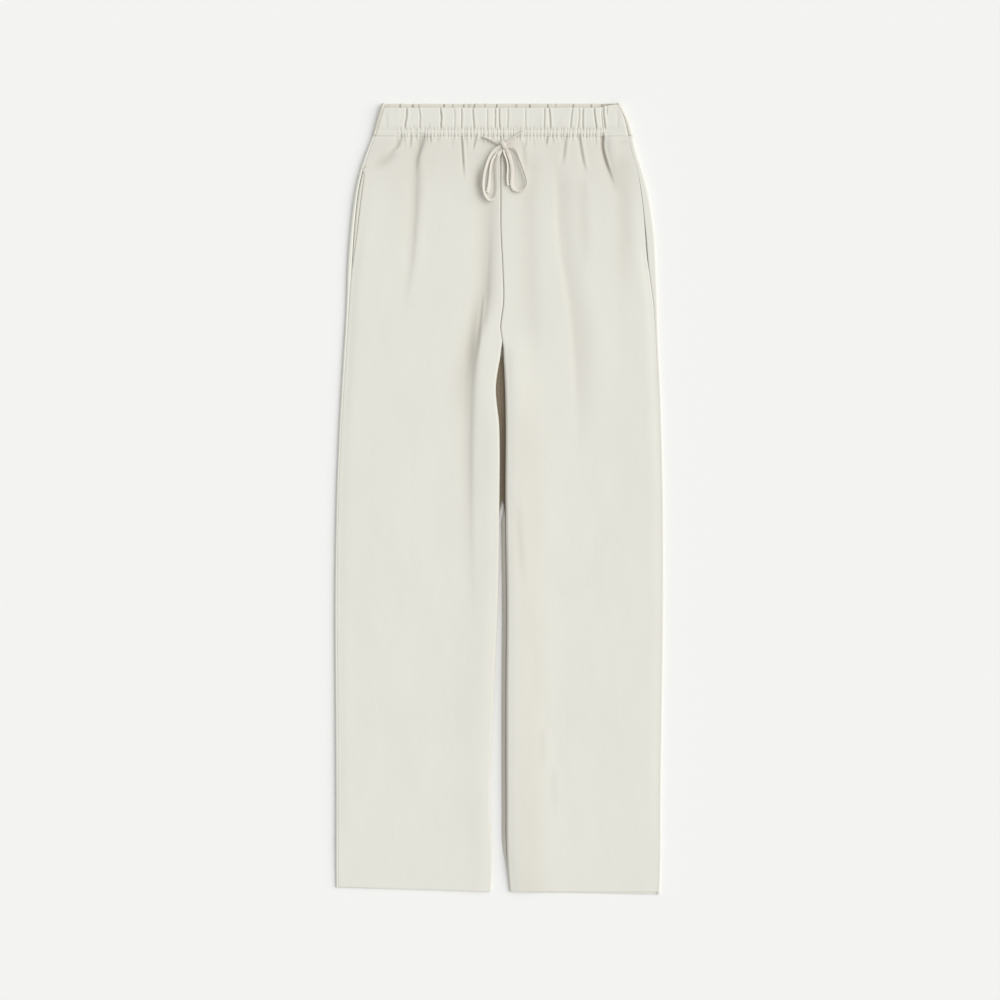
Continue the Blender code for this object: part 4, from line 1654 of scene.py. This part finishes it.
@dataclass
class Wiring:
    """Short ways to add and join nodes in one tree."""

    tree: bpy.types.NodeTree

    def add(self, kind: str, **settings: object) -> bpy.types.Node:
        """Adds a node.

        Args:
            kind: Its type.
            settings: Its settings by name.

        Returns:
            The node.
        """
        node = self.tree.nodes.new(kind)
        for key, value in settings.items():
            setattr(node, key, value)
        return node

    def join(self, source: bpy.types.NodeSocket, target: bpy.types.NodeSocket) -> None:
        """Links an output to an input."""
        self.tree.links.new(source, target)

    def tune(self, node: bpy.types.Node, **values: object) -> None:
        """Sets a node's inputs by name, with _ for a space."""
        for name, value in values.items():
            node.inputs[name.replace("_", " ")].default_value = value

    def math(self, operation: str, a: object, b: object = None) -> bpy.types.NodeSocket:
        """Adds a Math node.

        Args:
            operation: Its operation.
            a: First input, a socket or a number.
            b: Second input.

        Returns:
            Its output.
        """
        node = self.add("ShaderNodeMath", operation=operation)
        for slot, value in zip(node.inputs, (a, b)):
            if isinstance(value, bpy.types.NodeSocket):
                self.join(value, slot)
            elif value is not None:
                slot.default_value = value
        return node.outputs[0]

    def plus(self, a: object, b: object) -> bpy.types.NodeSocket:
        """Adds two inputs."""
        return self.math("ADD", a, b)

    def times(self, a: object, b: object) -> bpy.types.NodeSocket:
        """Multiplies two inputs."""
        return self.math("MULTIPLY", a, b)

    def stretch(self, vector: bpy.types.NodeSocket, scale: Colour) -> bpy.types.NodeSocket:
        """Scales a vector by a fixed amount.

        Args:
            vector: The vector.
            scale: The amount along each axis.

        Returns:
            The scaled vector.
        """
        node = self.add("ShaderNodeVectorMath", operation="MULTIPLY")
        self.join(vector, node.inputs[0])
        node.inputs[1].default_value = scale
        return node.outputs[0]

    def noise(self, vector: bpy.types.NodeSocket, scale: float, detail: float,
              roughness: float = 0.5) -> bpy.types.NodeSocket:
        """Adds a Noise texture.

        Args:
            vector: Where it is read.
            scale: Its scale.
            detail: Its detail.
            roughness: Its roughness.

        Returns:
            Its value.
        """
        node = self.add("ShaderNodeTexNoise")
        self.join(vector, node.inputs["Vector"])
        self.tune(node, Scale=scale, Detail=detail, Roughness=roughness)
        return node.outputs["Fac"]

    def bump(self, height: bpy.types.NodeSocket, strength: float,
             distance: float) -> bpy.types.Node:
        """Adds a Bump node.

        Args:
            height: The relief.
            strength: Its strength.
            distance: Its depth, in millimetres.

        Returns:
            The node.
        """
        node = self.add("ShaderNodeBump")
        self.tune(node, Strength=strength, Distance=distance * MM)
        self.join(height, node.inputs["Height"])
        return node


def weave_group() -> bpy.types.NodeTree:
    """Plain weave of uneven linen threads.

    Returns:
        A group that gives the weave's height and how much the threads stand out.
    """
    group = node_group("plain_weave", {"Threads": ("NodeSocketVector", None),
                                       "Per metre": ("NodeSocketFloat", 1500.0)},
                       ("Height", "Slub"))
    wiring = Wiring(group)
    source = group.nodes["in"].outputs
    threads = source["Threads"]
    warp_slub = wiring.noise(wiring.stretch(threads, (1300.0, 28.0, 1.0)), 1.0, 1.0)
    weft_slub = wiring.noise(wiring.stretch(threads, (22.0, 1300.0, 1.0)), 1.0, 1.0)
    scaled = wiring.add("ShaderNodeVectorMath", operation="SCALE")
    wiring.join(threads, scaled.inputs[0])
    wiring.join(wiring.times(source["Per metre"], math.pi), scaled.inputs["Scale"])
    split = wiring.add("ShaderNodeSeparateXYZ")
    wiring.join(scaled.outputs[0], split.inputs[0])
    across, along = (wiring.math("SINE", wiring.plus(axis, wiring.times(slub, 2.2)))
                     for axis, slub in zip(split.outputs, (warp_slub, weft_slub)))
    rows = wiring.plus(wiring.math("ABSOLUTE", across), wiring.math("ABSOLUTE", along))
    checker = wiring.times(across, along)
    height = wiring.plus(wiring.times(checker, 0.35), wiring.times(rows, 0.3))
    slub = wiring.times(wiring.plus(warp_slub, weft_slub), 0.5)
    wiring.join(height, group.nodes["out"].inputs["Height"])
    wiring.join(slub, group.nodes["out"].inputs["Slub"])
    return group


def crumple_group() -> bpy.types.NodeTree:
    """The small soft crumples that washed linen keeps.

    Returns:
        A group that gives their height and a faint unevenness of the colour.
    """
    group = node_group("soft_crumple", {"Threads": ("NodeSocketVector", None),
                                        "Size": ("NodeSocketFloat", 30.0)}, ("Height", "Mottle"))
    wiring = Wiring(group)
    threads = group.nodes["in"].outputs["Threads"]
    size = group.nodes["in"].outputs["Size"]
    broad = wiring.add("ShaderNodeTexNoise")
    wiring.join(wiring.stretch(threads, (1.0, 0.6, 1.0)), broad.inputs["Vector"])
    wiring.join(size, broad.inputs["Scale"])
    wiring.tune(broad, Detail=4.0, Roughness=0.55, Distortion=0.6)
    ridged = wiring.math("ABSOLUTE", wiring.math("SUBTRACT", broad.outputs["Fac"], 0.5))
    height = wiring.plus(wiring.times(ridged, -0.8), broad.outputs["Fac"])
    mottle = wiring.noise(wiring.stretch(threads, (1.0, 0.8, 1.0)), 16.0, 3.0, 0.6)
    wiring.join(height, group.nodes["out"].inputs["Height"])
    wiring.join(mottle, group.nodes["out"].inputs["Mottle"])
    return group


@dataclass(frozen=True)
class Linen:
    """A linen finish: its colour, how uneven the threads are, and how it feels."""

    name: str
    colour: Colour
    deep: Colour
    unevenness: float = 0.5
    roughness: float = 0.88
    sheen: float = 0.12
    per_metre: float = 1500.0
    weave_relief: float = 0.05
    crumple_relief: float = 0.35
    crumple_scale: float = 30.0
    # The colour that painted shade draws the cloth towards, where the shade attribute is 1.
    painted_shade_tint: Colour = (0.34, 0.28, 0.22)

    def material(self, weave: bpy.types.NodeTree,
                 crumple: bpy.types.NodeTree) -> bpy.types.Material:
        """Makes the finish.

        Args:
            weave: The shared weave group.
            crumple: The shared crumple group.

        Returns:
            The material.
        """
        made = bpy.data.materials.new(self.name)
        made.use_nodes = True
        tree = made.node_tree
        wiring = Wiring(tree)
        shader = tree.nodes["Principled BSDF"]
        wiring.tune(shader, Metallic=0.0, Sheen_Weight=self.sheen, Sheen_Roughness=0.5,
                    Specular_IOR_Level=0.2)
        threads = wiring.add("ShaderNodeUVMap", uv_map="cloth").outputs[0]
        cloth = wiring.add("ShaderNodeGroup", node_tree=weave)
        folds = wiring.add("ShaderNodeGroup", node_tree=crumple)
        wiring.join(threads, cloth.inputs["Threads"])
        wiring.join(threads, folds.inputs["Threads"])
        wiring.tune(cloth, Per_metre=self.per_metre)
        wiring.tune(folds, Size=self.crumple_scale)
        tone = wiring.plus(wiring.times(cloth.outputs["Slub"], 0.6),
                           wiring.times(folds.outputs["Mottle"], 0.4))
        tone = wiring.plus(wiring.times(tone, 2.4 * self.unevenness), 0.5 - 1.2 * self.unevenness)
        mix = wiring.add("ShaderNodeMix", data_type="RGBA")
        wiring.join(tone, mix.inputs["Factor"])
        mix.inputs["A"].default_value = (*self.deep, 1.0)
        mix.inputs["B"].default_value = (*self.colour, 1.0)
        # Painted shade: the shade attribute multiplies the colour towards the tint.
        depth = wiring.add("ShaderNodeAttribute", attribute_name="shade")
        sunk = wiring.add("ShaderNodeMix", data_type="RGBA", blend_type="MULTIPLY")
        wiring.join(depth.outputs["Fac"], sunk.inputs["Factor"])
        wiring.join(mix.outputs["Result"], sunk.inputs["A"])
        sunk.inputs["B"].default_value = (*self.painted_shade_tint, 1.0)
        wiring.join(sunk.outputs["Result"], shader.inputs["Base Color"])
        rough = wiring.plus(wiring.times(cloth.outputs["Slub"], 0.12), self.roughness - 0.06)
        wiring.join(rough, shader.inputs["Roughness"])
        broad = wiring.bump(folds.outputs["Height"], self.crumple_relief, 1.0)
        fine = wiring.bump(cloth.outputs["Height"], 0.5, self.weave_relief)
        wiring.join(broad.outputs["Normal"], fine.inputs["Normal"])
        wiring.join(fine.outputs["Normal"], shader.inputs["Normal"])
        return made


@dataclass(frozen=True)
class Thread:
    """Sewing thread in the colour of the cloth."""

    name: str = "thread"
    colour: Colour = (0.74, 0.72, 0.63)
    roughness: float = 0.7

    def material(self) -> bpy.types.Material:
        """Makes the finish.

        Returns:
            The material, with a faint twist along each stitch.
        """
        made = bpy.data.materials.new(self.name)
        made.use_nodes = True
        wiring = Wiring(made.node_tree)
        shader = made.node_tree.nodes["Principled BSDF"]
        wiring.tune(shader, Sheen_Weight=0.15)
        place = wiring.add("ShaderNodeTexCoord").outputs["Object"]
        twist = wiring.noise(wiring.stretch(place, (900.0, 2600.0, 900.0)), 1.0, 1.0)
        mix = wiring.add("ShaderNodeMix", data_type="RGBA")
        wiring.join(twist, mix.inputs["Factor"])
        mix.inputs["A"].default_value = (*(c * 0.86 for c in self.colour), 1.0)
        mix.inputs["B"].default_value = (*(min(1.0, c * 1.06) for c in self.colour), 1.0)
        wiring.join(mix.outputs["Result"], shader.inputs["Base Color"])
        rough = wiring.plus(wiring.times(twist, 0.1), self.roughness - 0.05)
        wiring.join(rough, shader.inputs["Roughness"])
        return made


# ---------------------------------------------------------------- studio


@dataclass(frozen=True)
class Studio:
    """A pale floor, soft daylight from the wearer's left, and the camera straight above."""

    view_width: float = 1.347
    view_x: float = 0.0008
    view_y: float = -0.0017
    cloth_height: float = 0.006
    lens: float = 64.0
    sensor: float = 36.0
    fill: float = 0.54
    key: float = 2.136
    key_height: float = 42.0
    key_turn: float = 15.0
    key_softness: float = 62.0
    key_distance: float = 3.0
    key_colour: Colour = (1.0, 0.995, 0.985)
    floor_colour: Colour = (0.905, 0.905, 0.895)
    floor_drop: float = 0.3
    floor_size: float = 40.0

    def camera(self) -> None:
        """Puts the camera straight above the trousers, square to them."""
        data = bpy.data.cameras.new("camera")
        data.lens = self.lens
        data.sensor_width = self.sensor
        data.clip_start = 0.1
        data.clip_end = 50.0
        camera = add_object("camera", data)
        height = self.view_width * self.lens / self.sensor + self.cloth_height
        camera.location = (self.view_x, self.view_y, height)
        bpy.context.scene.camera = camera

    def light(self) -> None:
        """Adds the soft key light and the even fill."""
        data = bpy.data.lights.new("window", "SUN")
        data.energy = self.key
        data.angle = math.radians(self.key_softness)
        data.color = self.key_colour
        lamp = add_object("window", data)
        tilt = math.radians(90.0 - self.key_height)
        turn = math.radians(self.key_turn)
        towards = Vector((math.sin(tilt) * math.cos(turn), math.sin(tilt) * math.sin(turn),
                          math.cos(tilt)))
        lamp.rotation_mode = "QUATERNION"
        lamp.rotation_quaternion = towards.to_track_quat("Z", "Y")
        lamp.location = towards * self.key_distance
        world = bpy.data.worlds.new("room")
        world.use_nodes = True
        room = world.node_tree.nodes["Background"]
        room.inputs["Color"].default_value = (1.0, 1.0, 1.0, 1.0)
        room.inputs["Strength"].default_value = self.fill
        bpy.context.scene.world = world
        bpy.context.scene.view_settings.view_transform = "Standard"

    def floor(self) -> None:
        """Lays the pale floor."""
        shape = bmesh.new()
        bmesh.ops.create_grid(shape, x_segments=1, y_segments=1, size=self.floor_size)
        bmesh.ops.translate(shape, verts=shape.verts[:], vec=(0.0, 0.0, -self.floor_drop * MM))
        mesh = bpy.data.meshes.new("floor")
        shape.to_mesh(mesh)
        shape.free()
        made = bpy.data.materials.new("floor_paper")
        made.use_nodes = True
        shader = made.node_tree.nodes["Principled BSDF"]
        shader.inputs["Base Color"].default_value = (*self.floor_colour, 1.0)
        shader.inputs["Roughness"].default_value = 0.95
        shader.inputs["Specular IOR Level"].default_value = 0.1
        mesh.materials.append(made)
        floor = add_object("floor", mesh)

    def build(self) -> None:
        """Sets up camera, light and floor."""
        self.camera()
        self.light()
        self.floor()


# ---------------------------------------------------------------- the two legs


@dataclass(frozen=True)
class Leg:
    """What sets one leg apart: its hems, from side to inner, its pocket and its seams."""

    side: Side
    front_hem: tuple[float, float]
    back_hem: tuple[float, float]
    gape: Rows
    pull: Rows
    facing_width: float
    facing_area: float
    # Painted shade on the front's inner slope, which faces the light.
    inner_slope_shade: float = 0.0
    # How far the back's inner fold swells into the gap between the legs; the swell carries painted
    # shade.
    bulge: float = 0.0

    def name(self, part: str) -> str:
        """The name of one of the leg's panels."""
        return f"{part}_{self.side.name.lower()}"


LEGS = (
    Leg(Side.RIGHT, (-523.8, -529.6), (-524.4, -530.0),
        ((POCKET_FOOT, 0.0), (330.0, 2.4), (360.0, 4.6), (395.0, 5.6), (420.0, 5.2), (436.0, 3.4),
         (POCKET_TOP, 0.0)),
        ((-540.0, 0.2), (-300.0, 0.5), (100.0, 0.6), (280.0, 1.2), (310.0, 2.2), (400.0, 1.2),
         (530.0, 0.6)),
        0.012, 0.0014),
    Leg(Side.LEFT, (-530.6, -529.8), (-533.8, -530.6),
        ((POCKET_FOOT, 0.0), (318.0, 0.5), (338.0, 1.2), (356.0, 1.0), (374.0, 0.3), (410.0, 0.2),
         (POCKET_TOP, 0.0)),
        ((-540.0, 0.0), (100.0, 0.05), (225.0, 0.3), (280.0, 1.1), (350.0, 0.9), (385.0, 0.3),
         (430.0, 0.35), (530.0, 0.4)),
        0.010, 0.0010, 0.12, 6.2),
)

# Width, length and area of each cut, in metres and square metres
FRONT_CUT = (0.245, 1.060, 0.232)
BACK_CUT = (0.260, 1.080, 0.248)

# Rows of stitches: first and last x, height and slope. Tacks: x, y, height, angle and length.
SEWN_ROWS = (
    (-160.0, 138.0, Waistband.upper_stitch_y, 0.0),
    (-164.0, 140.0, Waistband.lower_stitch_y, 0.0),
    (141.0, 168.0, 493.0, 0.09),
)
TACKS = (
    (-181.5, 446.0, 6.2, math.radians(35.0), 7.0),
    (168.0, 481.0, 6.1, math.radians(8.0), 8.0),
)


def main() -> None:
    """Builds the trousers and reports each piece."""
    Studio().build()
    outline = Outline()
    ruching = Ruching()
    groups = weave_group(), crumple_group()
    linen = Linen("linen", (0.809, 0.800, 0.729), (0.769, 0.760, 0.685)).material(*groups)
    # A darker copy of the linen, with painted shade, for the inside of the back of the band and
    # the pocket facings.
    shaded_linen = Linen("linen_inside", (0.755, 0.735, 0.655), (0.715, 0.695, 0.610)).material(*groups)
    tape = Linen("linen_tape", (0.765, 0.728, 0.655), (0.725, 0.685, 0.608), roughness=0.85,
                 sheen=0.15, weave_relief=0.06, crumple_relief=0.2,
                 crumple_scale=90.0).material(*groups)
    thread = Thread().material()

    front_lie = Lie(FRONT_FOLDS, ruching.gathers())
    back_lie = Lie(BACK_FOLDS, (), 0.12, 0.05, 23)
    band = Waistband(outline, ruching, front_lie, linen, shaded_linen)
    fronts = [LegFront(leg.name("front"), leg.side, *leg.front_hem, outline, front_lie, FRONT_CUT,
                       leg.pull, gape=leg.gape, inner_slope_shade=leg.inner_slope_shade, band=band)
              for leg in LEGS]
    backs = [LegBack(leg.name("back"), leg.side, *leg.back_hem, outline, back_lie, BACK_CUT,
                     leg.pull, bulge=leg.bulge) for leg in LEGS]
    facings = [PocketFacing(leg.side, front, outline, flat_width=leg.facing_width,
                            area=leg.facing_area) for leg, front in zip(LEGS, fronts)]
    pieces = [panel.build(linen) for panel in fronts + backs]
    pieces += [facing.build(shaded_linen) for facing in facings]
    pieces.extend(band.build())

    stitching = Stitching(band)
    for row in SEWN_ROWS:
        stitching.row(*row)
    for tack in TACKS:
        stitching.tack(*tack)
    pieces.append(stitching.build(thread))

    pieces.extend(Drawstring(tape).build())
    for piece in pieces:
        log.info("%s: %d faces", piece.name, len(piece.data.polygons))


if __name__ == "__main__":
    logging.basicConfig(level=logging.INFO, format="%(name)s: %(message)s")
    main()
